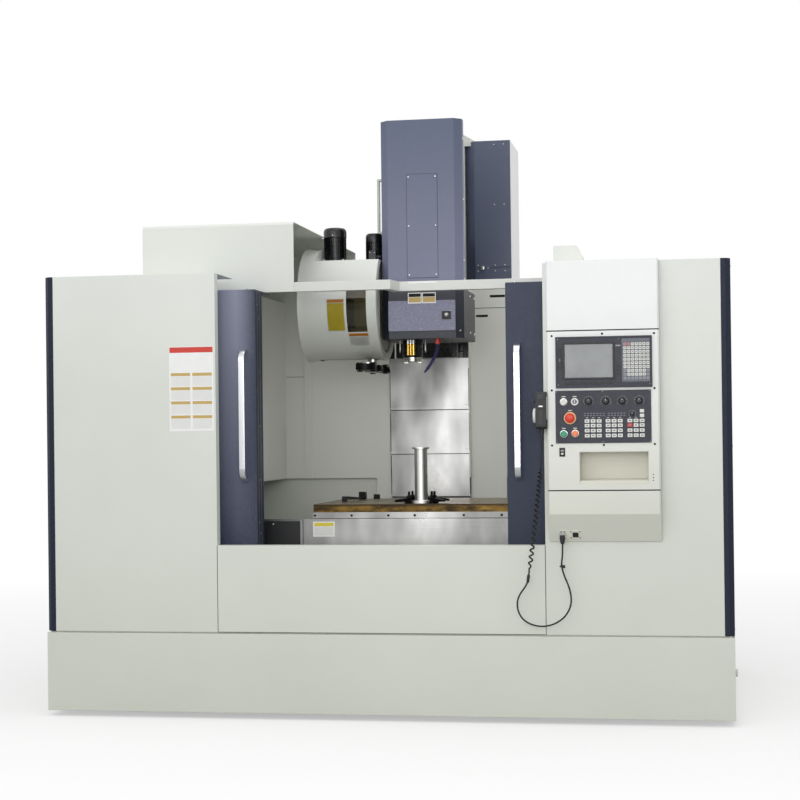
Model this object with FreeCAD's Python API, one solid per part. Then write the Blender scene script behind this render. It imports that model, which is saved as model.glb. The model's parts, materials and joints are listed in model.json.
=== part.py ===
import FreeCAD, Part
import math
import os
from FreeCAD import Vector

# Vertical machining centre with a travelling table, a fixed column and an arm tool changer.
# Sizes are in millimetres. X runs to the operator's right, Y to the rear and Z up.
# While the pieces are drawn, Y = 0 is the front of the skirt and Z = 0 its lower edge.
# At the end everything moves so that the origin is under the middle, on the floor.

# ---- enclosure ----
machine_width = 3000.0
cabinet_depth = 1860.0
skirt_height = 345.0
skirt_wall = 5.0
seam_height = 6.0
seam_inset = 12.0
floor_gap = 25.0
sheet = 4.0
cabinet_top = 1922.0
rear_panel_edge = 330.0
opening_left = -715.0
opening_right = 718.0
return_depth = 50.0
trim_width = 41.0
trim_depth = 60.0
trim_bevel = 20.0
sill_height = 729.5
sill_lip_depth = 56.0
track_height = 684.0
track_rear = 290.0
track_reach = 1440.0
track_rail_width = 10.0
track_rail_height = 10.0
track_rail_y = 210.0
inner_wall_x = 850.0
inner_wall_bottom = 972.0
inner_wall_front = 292.0
back_wall_y = 1830.0
back_wall_top = cabinet_top + 63.0
wall_post_x = -723.0
wall_post_width = 38.0
wall_post_depth = 10.0
drain_radius = 16.0
drain_reach = 10.0
drain_y = 60.0
drain_z = 193.0

# ---- door beam and magazine hood ----
beam_bottom = 1862.0
beam_height = 44.0
beam_depth = 40.0
beam_front_left = 397.0
beam_front_right = 518.0
beam_bend_left = -6.0
beam_bend_right = 14.5
hood_left = -1171.0
hood_right = -453.0
hood_top = 2183.0
hood_bevel = 12.0

# ---- sliding doors ----
door_front = 149.0
door_bottom = 700.0
door_top = 1857.0
door_width = 716.0
door_edge_depth = 120.0
door_edge_width = 60.0
door_tail_depth = 60.0
door_plate_overlap = 25.0
left_door_edge = -572.0
right_door_edge = 544.0
window_offset = 190.0
window_width = 380.0
window_bottom = 1000.0
window_height = 640.0
window_lap = 15.0
window_glass = 6.0
handle_offset = 51.0
handle_bottom = 1002.0
handle_top = 1594.0
handle_width = 26.0
handle_thickness = 12.0
handle_reach = 64.0
handle_bend = 60.0
shoe_length = 80.0
shoe_width = 40.0
slide_gap = 0.3

# ---- bed, rails and column ----
bed_half_width = 560.0
bed_front = 330.0
bed_rear = 2560.0
bed_bottom = 10.0
bed_deck = 520.0
bed_pad_top = 560.0
bed_trough = 120.0
trough_side_gap = 90.0
trough_column_gap = 120.0
foot_radius = 60.0
foot_inset = 90.0
foot_second = bed_front + 720.0
foot_third = bed_front + 1420.0
foot_pad = 18.0
foot_stud_radius = 15.0
rail_width = 35.0
rail_height = 30.0
spindle_x = -24.0
spindle_y = 1100.0
column_x = -53.0
y_rail_spacing = 640.0
y_rail_front = 350.0
y_rail_rear = 1780.0
column_front = 1870.0
column_depth = 610.0
column_half_width = 193.0
column_foot_half_width = 380.0
column_foot_top = 900.0
column_waist = 1100.0
column_top = 2740.0
z_rail_spacing = 300.0
z_rail_bottom = 980.0
z_rail_top = 2640.0
bracket_plate = 22.0
side_cover_width = 192.0
side_cover_front = 1850.0
side_cover_rear = 2250.0
side_cover_bevel = 54.0
side_cover_bottom = 1700.0
side_cover_seam = 2083.0
feed_motor_size = 130.0
feed_motor_length = 118.0

# ---- saddle and table ----
saddle_left = -430.0
saddle_right = 520.0
saddle_front = 478.0
saddle_depth = 640.0
saddle_top = 740.0
block_length = 110.0
block_side = 18.0
block_slot_gap = 0.5
x_rail_spacing = 440.0
table_block_x = 26.0
table_block_length = 180.0
apron_front = 438.0
apron_right = 560.0
apron_top = 822.0
apron_bottom = 640.0
apron_thickness = 4.0
table_left = -392.0
table_length = 1400.0
table_front = 478.0
table_depth = 700.0
table_top = 887.0
table_thickness = 87.0
table_lip_top = 850.0
slot_count = 5
slot_pitch = 125.0
slot_width = 18.0
slot_neck = 20.0
slot_foot_width = 30.0
slot_foot_height = 12.0
bar_x = 100.0
bar_y = 548.0
bar_radius = 30.0
bar_height = 250.0
bar_flange_radius = 40.0
bar_foot_radius = 55.0
strap_length = 72.0
strap_width = 24.0
strap_height = 26.0
loose_strap_length = 90.0
loose_strap_inset = 62.0
loose_strap_depth = 342.0
big_block_inset = 92.0
big_block_depth = 602.0
big_block_side = 35.0
big_block_height = 36.0
small_block_inset = 157.0
small_block_depth = 652.0
small_block_length = 30.0
small_block_width = 20.0
small_block_height = 22.0

# ---- head ----
cover_left = -146.0
cover_right = 252.0
cover_front = 926.0
cover_bevel = 36.0
cover_bottom = 1665.0
cover_shoulder = 1905.0
cover_top = 2722.0
cover_side_depth = 84.0
cover_lower_depth = 439.0
hatch_left = -16.0
hatch_right = 133.0
hatch_bottom = 1958.0
hatch_top = 2458.0
hatch_thickness = 2.0
plate_left = -112.0
plate_right = 215.0
plate_bottom = 1702.0
plate_top = 1848.0
head_half_width = 108.0
head_bottom = 1705.0
head_front = 985.0
head_shoulder = 1900.0
carriage_half_width = 160.0
carriage_front = 1700.0
carriage_bottom = 1606.0
carriage_top = 2250.0
carriage_back = 1835.0
housing_flange_radius = 69.0
housing_flange_bottom = 1665.0
housing_radius = 50.0
spindle_nose_top = 1582.0
spindle_nose_bottom = 1561.0
spindle_nose_radius = 44.45
spindle_shaft_radius = 30.0
taper_radius = 22.225
taper_slope = 7.0 / 24.0
taper_depth = 65.0
running_gap = 0.05
turning_gap = 0.5
motor_half_width = 110.0
motor_height = 520.0
hose_radius = 8.0

# ---- column plates ----
column_plate_width = 425.0
column_plate_thickness = 3.0
column_plate_lip = 6.0
column_plate_front = 1788.0
column_plate_step = 7.0
upper_plate_bottom = 1331.0
middle_plate_bottom = 1097.0
middle_plate_top = 1400.0
lower_plate_bottom = 870.0
lower_plate_top = 1170.0
plate_guide_front = 1784.0

# ---- tool magazine ----
drum_z = 1846.0
drum_radius = 277.0
drum_rim_radius = 284.0
drum_left = -539.0
drum_rim_width = 34.0
drum_right = -155.0
drum_wall = 4.0
drum_platform = 2053.0
drum_platform_left = -470.0
drum_mouth_lip = 40.0
window_left_x = -300.0
window_right_x = -203.0
window_low_z = 1700.0
window_high_z = 1925.0
hatch_slot_left = -480.0
hatch_slot_right = -170.0
hatch_slot_half = 60.0
disc_left = -500.0
disc_thickness = 16.0
disc_radius = 198.0
disc_hub_radius = 55.0
disc_hub_length = 80.0
axle_radius = 25.0
pot_count = 16
pot_circle = 165.0
pot_radius = 30.0
pot_length = 100.0
arm_reach = 200.0
gearbox_left = -300.0
gearbox_right = -170.0
gearbox_front = 1010.0
gearbox_rear = 1220.0
gearbox_bottom = 1620.0
bracket_bottom = 1992.0
bracket_top = 2045.0
arm_shaft_radius = 25.0
arm_shaft_top = 1800.0
arm_shaft_stroke = 115.0
arm_top = 1547.0
arm_thickness = 30.0
arm_cap = 5.0
arm_hub_radius = 45.0
arm_end_radius = 52.0
arm_jaw_radius = 32.0
arm_bar_width = 56.0
disc_motor_x = -408.0
disc_motor_radius = 57.0
disc_motor_height = 178.0
arm_motor_radius = 43.0
arm_motor_height = 146.0

# ---- control box ----
box_left = 738.0
box_right = 1205.0
box_front = -72.5
box_rear = 120.0
box_lower_edge = 863.0
box_bottom = 747.0
box_bottom_front = -10.0
box_corner = 6.0
groove_height = 5.0
groove_depth = 7.0
groove_levels = (1629.0, 962.0)
tray_left = 871.0
tray_right = 1157.0
tray_bottom = 988.0
tray_top = 1123.0
tray_depth = 100.0
display_left = 777.0
display_right = 1176.0
display_bottom = 1389.0
display_top = 1603.0
display_proud = 8.0
screen_left = 815.0
screen_right = 1014.0
screen_bottom = 1432.0
screen_top = 1571.0
screen_recess = 5.0
glass_thickness = 3.0
operator_left = 774.0
operator_right = 1170.0
operator_bottom = 1159.0
operator_top = 1379.0
operator_proud = 4.0
keypad_left = 1065.0
keypad_top = 1568.0
keypad_columns = 7
keypad_rows = 10
keypad_pitch = 15.7
key_size = 11.5
key_height = 3.0
key_block_lefts = (905.0, 992.0, 1082.0)
key_block_pitch = 25.0
key_block_rows = (1251.0, 1232.0, 1211.0, 1190.0)
big_key_width = 18.0
big_key_height = 13.0
knob_centres = ((912.0, 1333.0), (983.0, 1333.0), (1051.0, 1333.0), (1121.0, 1333.0), (1092.0, 1279.0))
knob_radii = (15.0, 15.0, 15.0, 15.0, 10.0)
knob_height = 18.0
stem_half = 6.0
stem_length = 20.0
stem_gap = 0.3
stop_centre = (834.5, 1264.5)
stop_radius = 20.0
stop_height = 24.0
stop_bezel = 25.0
stop_travel = 4.0
button_radius = 13.0
button_height = 8.0
button_bezel = 15.5
button_travel = 3.0
bezel_height = 3.0
start_centre = (808.0, 1199.0)
hold_centre = (855.5, 1200.0)
power_centre = (808.5, 1332.0)
lock_centre = (854.5, 1332.5)
lock_radius = 9.0
port_left = 788.0
port_right = 812.0
port_bottom = 1104.0
port_top = 1141.0
socket_x = 795.0
socket_z = 777.0
socket_plate_half = 20.0
socket_plate_length = 88.0
socket_plate_inset = 12.0
socket_radius = 14.0
socket_length = 30.0
plug_radius = 11.0
plug_drop = 34.0

# ---- handwheel pendant and its cord ----
pendant_left = 692.0
pendant_top = 1376.0
pendant_bottom = 1220.0
pendant_front = -96.0
pendant_depth = 72.0
pendant_holder = 3.0
pendant_round = 10.0
pendant_wheel_radius = 30.0
pendant_wheel_width = 13.0
pendant_wheel_z = 1277.0
pendant_wheel_gap = 0.5
relief_length = 33.0
relief_radius = 11.0
cord_radius = 3.6
cord_sides = 4
turned_sides = 32
disc_sides = 48
drum_sides = 64
pot_sides = 8
bezel_sides = 16
side_flange_width = 9.0
relief_drop = 60.0
coil_outer_radius = 15.0
coil_turns = 13
coil_steps = 4
coil_top = Vector(708.0, -60.0, 1064.0)
coil_bottom = Vector(653.0, -61.0, 616.0)
coil_bend = Vector(694.0, -60.0, 900.0)

# ---- rear electrical cabinet ----
rear_half_width = 370.0
rear_bottom = 760.0
rear_top = 2280.0
rear_depth = 284.0
rear_door_thickness = 20.0
vent_half_width = 120.0
vent_top_gap = 260.0
vent_pitch = 30.0
vent_height = 10.0

# ---- worked out from the sizes above ----
half_width = machine_width / 2
cabinet_bottom = skirt_height + seam_height
column_rear = column_front + column_depth
rear_most = column_rear + rear_depth + rear_door_thickness + slide_gap
front_most = box_front - operator_proud - bezel_height - stop_height
depth_middle = (front_most + rear_most) / 2
table_bottom = table_top - table_thickness
arm_x = spindle_x - arm_reach


# ---- shape helpers ----
def box(x0, x1, y0, y1, z0, z1):
    return Part.makeBox(x1 - x0, y1 - y0, z1 - z0, Vector(x0, y0, z0))


def rod_x(radius, x0, x1, y, z):
    return Part.makeCylinder(radius, x1 - x0, Vector(x0, y, z), Vector(1, 0, 0))


def rod_y(radius, y0, y1, x, z):
    return Part.makeCylinder(radius, y1 - y0, Vector(x, y0, z), Vector(0, 1, 0))


def rod_z(radius, z0, z1, x, y):
    return Part.makeCylinder(radius, z1 - z0, Vector(x, y, z0), Vector(0, 0, 1))


def ring_points(sides, radius, centre, across, up):
    """The corners of a regular outline whose widest reach is the given radius."""
    angles = [2 * math.pi * (n + 0.5) / sides for n in range(sides)]
    return [centre + across * (radius * math.cos(a)) + up * (radius * math.sin(a)) for a in angles]


def prism_z(sides, radius, z0, z1, x, y):
    corners = ring_points(sides, radius, Vector(x, y, z0), Vector(1, 0, 0), Vector(0, 1, 0))
    return closed_face(corners).extrude(Vector(0, 0, z1 - z0))


def bore_corner(shaft_radius):
    """Corner radius of a many-sided bore whose flats clear a round shaft by the running gap."""
    return (shaft_radius + running_gap) / math.cos(math.pi / turned_sides)


def prism_x(sides, radius, x0, x1, y, z):
    corners = ring_points(sides, radius, Vector(x0, y, z), Vector(0, 1, 0), Vector(0, 0, 1))
    return closed_face(corners).extrude(Vector(x1 - x0, 0, 0))


def prism_y(sides, radius, y0, y1, x, z):
    corners = ring_points(sides, radius, Vector(x, y0, z), Vector(1, 0, 0), Vector(0, 0, 1))
    return closed_face(corners).extrude(Vector(0, y1 - y0, 0))


def closed_face(points):
    return Part.Face(Part.makePolygon(points + [points[0]]))


def plan(points, z0, z1):
    """A prism of a plan outline given as (x, y)."""
    return closed_face([Vector(x, y, z0) for x, y in points]).extrude(Vector(0, 0, z1 - z0))


def side(points, x0, x1):
    """A prism of a side outline given as (y, z)."""
    return closed_face([Vector(x0, y, z) for y, z in points]).extrude(Vector(x1 - x0, 0, 0))


def front(points, y0, y1):
    """A prism of a front outline given as (x, z)."""
    return closed_face([Vector(x, y0, z) for x, z in points]).extrude(Vector(0, y1 - y0, 0))


def joined(first, *rest):
    shape = first
    for other in rest:
        shape = shape.fuse(other)
    return shape.removeSplitter()


def mirrored(shape):
    return shape.mirror(Vector(0, 0, 0), Vector(1, 0, 0))


def corner_arc(before, corner, after, radius):
    """Both ends and the middle of the arc that rounds a corner of a route."""
    back = (before - corner).normalize()
    ahead = (after - corner).normalize()
    half_turn = (math.pi - back.getAngle(ahead)) / 2
    setback = radius * math.tan(half_turn)
    middle_way = (back + ahead).normalize()
    middle = corner + middle_way * (radius / math.cos(half_turn) - radius)
    return corner + back * setback, middle, corner + ahead * setback


def route_wire(points, name):
    """Straight runs joined by tangent arcs, each as large as its runs allow."""
    edges = []
    radii = []
    last = points[0]
    for before, corner, after in zip(points, points[1:], points[2:]):
        shorter = min((corner - before).Length, (after - corner).Length)
        turn = math.pi - (before - corner).getAngle(after - corner)
        radius = 0.45 * shorter / math.tan(turn / 2)
        radii.append(round(radius, 1))
        start, middle, end = corner_arc(before, corner, after, radius)
        edges.append(Part.LineSegment(last, start).toShape())
        edges.append(Part.Arc(start, middle, end).toShape())
        last = end
    edges.append(Part.LineSegment(last, points[-1]).toShape())
    wire = Part.Wire(edges)
    print(name, "bend radii", radii, "length", round(wire.Length, 1))
    return wire


def frustum(low_corners, high_corners):
    """The solid between two polygons of as many corners."""
    low = Part.makePolygon(low_corners + [low_corners[0]])
    high = Part.makePolygon(high_corners + [high_corners[0]])
    return Part.makeLoft([low, high], True, True)


def frustum_x(sides, low_radius, high_radius, x0, x1, y, z):
    low = ring_points(sides, low_radius, Vector(x0, y, z), Vector(0, 1, 0), Vector(0, 0, 1))
    high = ring_points(sides, high_radius, Vector(x1, y, z), Vector(0, 1, 0), Vector(0, 0, 1))
    return frustum(low, high)


def tube(wire, radius, start, direction, sides):
    """A faceted tube along a wire that leaves start in the given direction."""
    across = direction.cross(Vector(0, 1, 0)).normalize()
    up = across.cross(direction).normalize()
    corners = ring_points(sides, radius, start, across, up)
    ring = Part.makePolygon(corners + [corners[0]])
    return wire.makePipeShell([ring], True, False)


def biarc(start, start_way, end, end_way):
    """Two arcs that leave start and reach end in the given directions."""
    chord = end - start
    both = start_way + end_way
    alike = 2 * (1 - start_way.dot(end_way))
    across = chord.dot(both)
    if alike < 1e-9:
        reach = chord.dot(chord) / (2 * across)
    else:
        reach = (math.sqrt(across * across + alike * chord.dot(chord)) - across) / alike
    first_corner = start + start_way * reach
    second_corner = end - end_way * reach
    joint = (first_corner + second_corner) / 2
    return [tangent_arc(start, first_corner, joint), tangent_arc(joint, second_corner, end)]


def tangent_arc(start, corner, end):
    middle = (start + end) / 2
    rise = corner - middle
    half_chord = (start - middle).Length
    if rise.Length < 1e-6:
        return Part.LineSegment(start, end).toShape()
    half_turn = math.atan2(rise.Length, half_chord)
    crown = middle + rise * (half_chord * math.tan(half_turn / 2) / rise.Length)
    return Part.Arc(start, crown, end).toShape()


# ---- base ----
def make_bed():
    deck = box(-bed_half_width, bed_half_width, bed_front, bed_rear, bed_bottom, bed_deck)
    left_pad_x = column_x - y_rail_spacing / 2
    right_pad_x = column_x + y_rail_spacing / 2
    parts = []
    for x in (left_pad_x, right_pad_x):
        parts.append(box(x - 50, x + 50, y_rail_front - 20, y_rail_rear, bed_deck, bed_pad_top))
        parts.append(
            box(x - rail_width / 2, x + rail_width / 2, y_rail_front, y_rail_rear - 20,
                bed_pad_top, bed_pad_top + rail_height)
        )
    foot_left = column_x - column_foot_half_width - 20
    foot_right = column_x + column_foot_half_width + 20
    parts.append(box(foot_left, foot_right, column_front - 20, bed_rear, bed_deck, bed_pad_top))
    trough = box(left_pad_x + trough_side_gap, right_pad_x - trough_side_gap, bed_front - 1,
                 column_front - trough_column_gap,
                 bed_deck - bed_trough, bed_deck)
    return joined(deck.cut(trough), *parts)


def make_levelling_feet():
    feet = []
    for x in (-bed_half_width + foot_inset, bed_half_width - foot_inset):
        for y in (bed_front + foot_inset, foot_second, foot_third, bed_rear - foot_inset):
            pad = box(x - foot_radius, x + foot_radius, y - foot_radius, y + foot_radius, -floor_gap,
                      -floor_gap + foot_pad)
            stud = prism_z(6, foot_stud_radius, -floor_gap + foot_pad, bed_bottom, x, y)
            feet.append(joined(pad, stud))
    return feet


def make_base_skirt():
    outer = box(-half_width, half_width, 0, cabinet_depth, 0, skirt_height)
    hollow = box(-half_width + skirt_wall, half_width - skirt_wall, skirt_wall,
                 cabinet_depth - skirt_wall, -1, skirt_height - skirt_wall)
    bed_hole = box(-bed_half_width - 10, bed_half_width + 10, bed_front - 10, cabinet_depth + 1,
                   -1, skirt_height + 1)
    plinth_outer = box(-half_width + seam_inset, half_width - seam_inset, seam_inset,
                       cabinet_depth - seam_inset, skirt_height, cabinet_bottom)
    plinth_inner = box(-half_width + seam_inset + 18, half_width - seam_inset - 18, seam_inset + 18,
                       cabinet_depth - seam_inset - 18, skirt_height, cabinet_bottom)
    tray_rim = box(-bed_half_width - 10, bed_half_width + 10, cabinet_depth - 60, cabinet_depth + 1,
                   skirt_height, cabinet_bottom)
    skirt = outer.cut(hollow).cut(bed_hole)
    skirt = joined(skirt, plinth_outer.cut(plinth_inner).cut(tray_rim))
    for end in (-1, 1):
        x = end * half_width
        plug = prism_x(6, drain_radius, min(x, x + end * drain_reach), max(x, x + end * drain_reach),
                       drain_y, drain_z)
        skirt = skirt.fuse(plug)
    return skirt.removeSplitter()


# ---- side cabinets ----
def make_cabinet(edge_x, cut_for_box):
    """The left cabinet as seen from the front; the right one is drawn as its mirror image."""
    out = -half_width
    front_panel = box(out + trim_width, edge_x, 0, sheet, cabinet_bottom, cabinet_top)
    side_panel = box(out, out + sheet, trim_depth, cabinet_depth, cabinet_bottom, cabinet_top)
    rear_panel = box(out, -rear_panel_edge, cabinet_depth - sheet, cabinet_depth, cabinet_bottom, cabinet_top)
    corner = trim_bevel + 2
    roof_outline = [
        (out + sheet, corner), (out + corner, sheet), (edge_x, sheet), (edge_x, inner_wall_front),
        (-inner_wall_x, inner_wall_front), (-inner_wall_x, cabinet_depth), (out + sheet, cabinet_depth),
    ]
    roof_sheet = plan(roof_outline, cabinet_top - sheet, cabinet_top)
    inner_return = box(edge_x - sheet, edge_x, 0, return_depth, cabinet_bottom, cabinet_top)
    front_flange = box(out + trim_width, edge_x, 0, 42, cabinet_bottom, cabinet_bottom + sheet)
    side_flange = box(out, out + side_flange_width, trim_depth, cabinet_depth, cabinet_bottom,
                      cabinet_bottom + sheet)
    rear_flange = box(out, -bed_half_width - 12, cabinet_depth - 42, cabinet_depth,
                      cabinet_bottom, cabinet_bottom + sheet)
    cabinet = joined(front_panel, side_panel, rear_panel, roof_sheet, inner_return,
                     front_flange, side_flange, rear_flange)
    bed_gap = 12.0
    bed_notch = box(-bed_half_width - bed_gap, -rear_panel_edge + 1, cabinet_depth - sheet - 1,
                    cabinet_depth + 1, cabinet_bottom - 1, bed_pad_top + bed_gap)
    cabinet = cabinet.cut(bed_notch)
    if cut_for_box:
        cover_notch = box(-column_x - column_half_width - 54 - side_cover_width - sheet, -rear_panel_edge + 1,
                          cabinet_depth - sheet - 1, cabinet_depth + 1, side_cover_bottom - sheet,
                          cabinet_top + 1)
        cabinet = cabinet.cut(cover_notch)
        hole = box(-box_right, -box_left, -1, sheet + 1, box_bottom, cabinet_top + 1)
        roof = box(-box_right, -box_left, -1, box_rear, cabinet_top - sheet - 1, cabinet_top + 1)
        cabinet = cabinet.cut(hole).cut(roof)
    return cabinet


def make_left_cabinet():
    return make_cabinet(opening_left, False)


def make_right_cabinet():
    cabinet = mirrored(make_cabinet(-opening_right, True))
    lamp_box = front(
        [(751.0, cabinet_top), (877.0, cabinet_top), (877.0, cabinet_top + 40), (851.0, cabinet_top + 91),
         (751.0, cabinet_top + 91)],
        190.0, 280.0,
    )
    return joined(cabinet, lamp_box)


def make_corner_trims():
    out = -half_width
    inner = out + trim_width
    outline = [
        (inner, 0), (inner, sheet), (out + trim_bevel + 2, sheet), (out + sheet, trim_bevel + 2),
        (out + sheet, trim_depth), (out, trim_depth), (out, trim_bevel), (out + trim_bevel, 0),
    ]
    left = plan(outline, cabinet_bottom, cabinet_top)
    return [left, mirrored(left)]


def make_front_sill():
    face = box(opening_left, opening_right, 0, sheet, cabinet_bottom, sill_height)
    lip = box(opening_left, opening_right, 0, sill_lip_depth, sill_height - sheet, sill_height)
    step = box(opening_left, opening_right, sill_lip_depth - sheet, sill_lip_depth, track_height - sheet,
               sill_height)
    shelf = box(-track_reach, track_reach, sill_lip_depth - sheet, track_rear, track_height - sheet,
                track_height)
    upstand = box(-track_reach, track_reach, track_rear - sheet, track_rear, skirt_height,
                  track_height + 12)
    foot = box(opening_left, opening_right, 0, 42, cabinet_bottom, cabinet_bottom + sheet)
    rail = box(-track_reach, track_reach, track_rail_y - track_rail_width / 2,
               track_rail_y + track_rail_width / 2, track_height, track_height + track_rail_height)
    return joined(face, lip, step, shelf, upstand, foot, rail)


def make_top_beam():
    outline = [
        (hood_right, beam_front_left),
        (beam_bend_left, beam_front_left),
        (beam_bend_right, beam_front_right),
        (inner_wall_x - sheet, beam_front_right),
        (inner_wall_x - sheet, beam_front_right + beam_depth),
        (beam_bend_left - 16, beam_front_right + beam_depth),
        (beam_bend_left - 38, beam_front_left + beam_depth),
        (hood_right, beam_front_left + beam_depth),
    ]
    return plan(outline, beam_bottom, beam_bottom + beam_height)


def make_magazine_guard():
    y0 = beam_front_left
    y1 = back_wall_y + sheet
    t = sheet
    bend = [
        (y0, cabinet_top), (y0, hood_top - hood_bevel), (y0 + hood_bevel, hood_top), (y1, hood_top),
        (y1, cabinet_top), (y1 - t, cabinet_top), (y1 - t, hood_top - t), (y0 + hood_bevel + 2, hood_top - t),
        (y0 + t, hood_top - hood_bevel - 2), (y0 + t, cabinet_top),
    ]
    shell = side(bend, hood_left, hood_right)
    over_wall = box(-inner_wall_x, hood_right + 1, y1 - t, y1 + 1, cabinet_top - 1, back_wall_top)
    end_wall = side(
        [(y0, cabinet_top), (y0, hood_top - hood_bevel), (y0 + hood_bevel, hood_top), (y1, hood_top),
         (y1, cabinet_top)],
        hood_left, hood_left + t,
    )
    apron = box(-inner_wall_x + t, hood_right, y0, y0 + t, beam_bottom, cabinet_top)
    foot = box(hood_left, -inner_wall_x + t, y0, y0 + 40, cabinet_top, cabinet_top + t)
    motor_notch = rod_z(disc_motor_radius + 10, hood_top - 20, hood_top + 1, disc_motor_x, spindle_y)
    return joined(shell.cut(over_wall), end_wall, apron, foot).cut(motor_notch)


def make_inner_walls():
    guide_left = column_x - column_plate_width / 2 - slide_gap
    guide_right = column_x + column_plate_width / 2 + slide_gap
    low = inner_wall_bottom
    roof = cabinet_top
    left_side = box(-inner_wall_x, -inner_wall_x + sheet, inner_wall_front, back_wall_y, low, roof)
    left_back = box(-inner_wall_x, guide_left, back_wall_y, back_wall_y + sheet, low, back_wall_top)
    left_guide = box(guide_left - sheet, guide_left, plate_guide_front, back_wall_y + sheet, low,
                     back_wall_top)
    left_leg = box(-rear_panel_edge - 20, guide_left, back_wall_y, back_wall_y + sheet, bed_deck, low)
    post = box(wall_post_x - wall_post_width / 2, wall_post_x + wall_post_width / 2,
               back_wall_y - wall_post_depth, back_wall_y, low, back_wall_top)
    right_side = box(inner_wall_x - sheet, inner_wall_x, inner_wall_front, back_wall_y, low, roof)
    right_back = box(guide_right, inner_wall_x, back_wall_y, back_wall_y + sheet, low, back_wall_top)
    right_guide = box(guide_right, guide_right + sheet, plate_guide_front, back_wall_y + sheet, low,
                      back_wall_top)
    right_leg = box(guide_right, rear_panel_edge + 20, back_wall_y, back_wall_y + sheet, bed_deck, low)
    left = joined(left_side, left_back, left_guide, left_leg, post)
    right = joined(right_side, right_back, right_guide, right_leg)
    left_slot = box(-inner_wall_x - 1, -inner_wall_x + sheet + 1, inner_wall_front - 1,
                    beam_front_left + door_plate_overlap + 3, door_top - sheet - 5, beam_bottom)
    right_slot = box(inner_wall_x - sheet - 1, inner_wall_x + 1, inner_wall_front - 1,
                     beam_front_right + door_plate_overlap + 3, door_top - sheet - 5, beam_bottom)
    return [left.cut(left_slot), right.cut(right_slot)]


# ---- column ----
def make_column():
    foot = column_foot_half_width
    half = column_half_width
    outline = [
        (column_x - foot, bed_pad_top), (column_x + foot, bed_pad_top),
        (column_x + foot, column_foot_top), (column_x + half, column_waist),
        (column_x + half, column_top), (column_x - half, column_top),
        (column_x - half, column_waist), (column_x - foot, column_foot_top),
    ]
    body = front(outline, column_front, column_rear)
    parts = []
    for way in (-1, 1):
        x = column_x + way * z_rail_spacing / 2
        parts.append(box(x - rail_width / 2, x + rail_width / 2, column_front - rail_height, column_front,
                         z_rail_bottom, z_rail_top))
    cap_right = column_x + half + 65
    parts.append(box(column_x - half, cap_right, column_front, column_front + 230, column_top,
                     column_top + bracket_plate))
    gusset = [
        (column_x + 75, column_top + bracket_plate), (cap_right, column_top + bracket_plate),
        (column_x + 118, column_top + 105), (column_x + 75, column_top + 105),
    ]
    parts.append(front(gusset, column_front + 20, column_front + 28))
    carrier_left = column_x - half - 94
    for low in (2290.0, 2573.0):
        parts.append(box(carrier_left, column_x - half, column_front + 10, column_front + 50, low, low + 10))
    parts.append(box(carrier_left, carrier_left + 10, column_front + 10, column_front + 50, 2290.0, 2583.0))
    return joined(body, *parts)


def make_column_cover():
    x0 = column_x + column_half_width
    x1 = x0 + 54 + side_cover_width
    y0 = side_cover_front
    outline = [
        (x0, y0 + side_cover_bevel), (x0 + side_cover_bevel, y0), (x1, y0), (x1, side_cover_rear),
        (x0, side_cover_rear),
    ]
    cover = plan(outline, side_cover_bottom, column_top + bracket_plate - 1)
    groove = box(x0 + side_cover_bevel - 1, x1 + 1, y0 - 1, y0 + 4, side_cover_seam, side_cover_seam + 4)
    plate_notch = box(x0 - 1, x0 + 66, column_front - 1, column_front + 231, column_top, column_top + 60)
    return cover.cut(groove).cut(plate_notch)


def make_feed_motors():
    half = feed_motor_size / 2
    z0 = column_top + bracket_plate
    y = column_front + 90
    body = box(column_x - half, column_x + half, y - half, y + half, z0, z0 + feed_motor_length)
    end = box(column_x - half, column_x + half, y + half, y + half + 34, z0 + 30, z0 + feed_motor_length - 18)
    z_motor = joined(body, end)
    y_motor = box(column_x - half, column_x + half, bed_front + 10, bed_front + 200, bed_deck - bed_trough,
                  bed_deck - bed_trough + feed_motor_size)
    return [z_motor, y_motor]


# ---- saddle and table ----
def make_saddle():
    saddle_bottom = bed_pad_top + rail_height + 12
    y1 = saddle_front + saddle_depth
    body = box(saddle_left, saddle_right, saddle_front, y1, saddle_bottom, saddle_top)
    wide = rail_width / 2 + block_side
    slot = rail_width / 2 + block_slot_gap
    parts = []
    for x in (column_x - y_rail_spacing / 2, column_x + y_rail_spacing / 2):
        for y in (saddle_front + 80, y1 - 80):
            block = box(x - wide, x + wide, y - block_length / 2, y + block_length / 2, bed_pad_top + 8,
                        saddle_bottom)
            parts.append(block.cut(box(x - slot, x + slot, y - block_length, y + block_length,
                                       bed_pad_top, bed_pad_top + rail_height + slide_gap)))
    for y in table_rail_lines():
        block = box(table_block_x - table_block_length / 2, table_block_x + table_block_length / 2, y - wide,
                    y + wide, saddle_top, table_bottom - 8)
        parts.append(block.cut(box(table_block_x - table_block_length, table_block_x + table_block_length,
                                   y - slot, y + slot, table_bottom - rail_height - slide_gap, table_bottom)))
    return joined(body, *parts)


def table_rail_lines():
    middle = table_front + table_depth / 2
    return [middle - x_rail_spacing / 2, middle + x_rail_spacing / 2]


def make_saddle_apron():
    t = apron_thickness
    face = box(saddle_left, apron_right, apron_front, apron_front + t, apron_bottom, apron_top)
    roof = box(saddle_left, apron_right, apron_front, apron_front + 34, apron_top - t, apron_top)
    foot = box(saddle_left, saddle_right, apron_front, saddle_front, apron_bottom, apron_bottom + t)
    return joined(face, roof, foot)


def slot_centres():
    middle = table_front + table_depth / 2
    return [middle + (n - (slot_count - 1) / 2) * slot_pitch for n in range(slot_count)]


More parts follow.
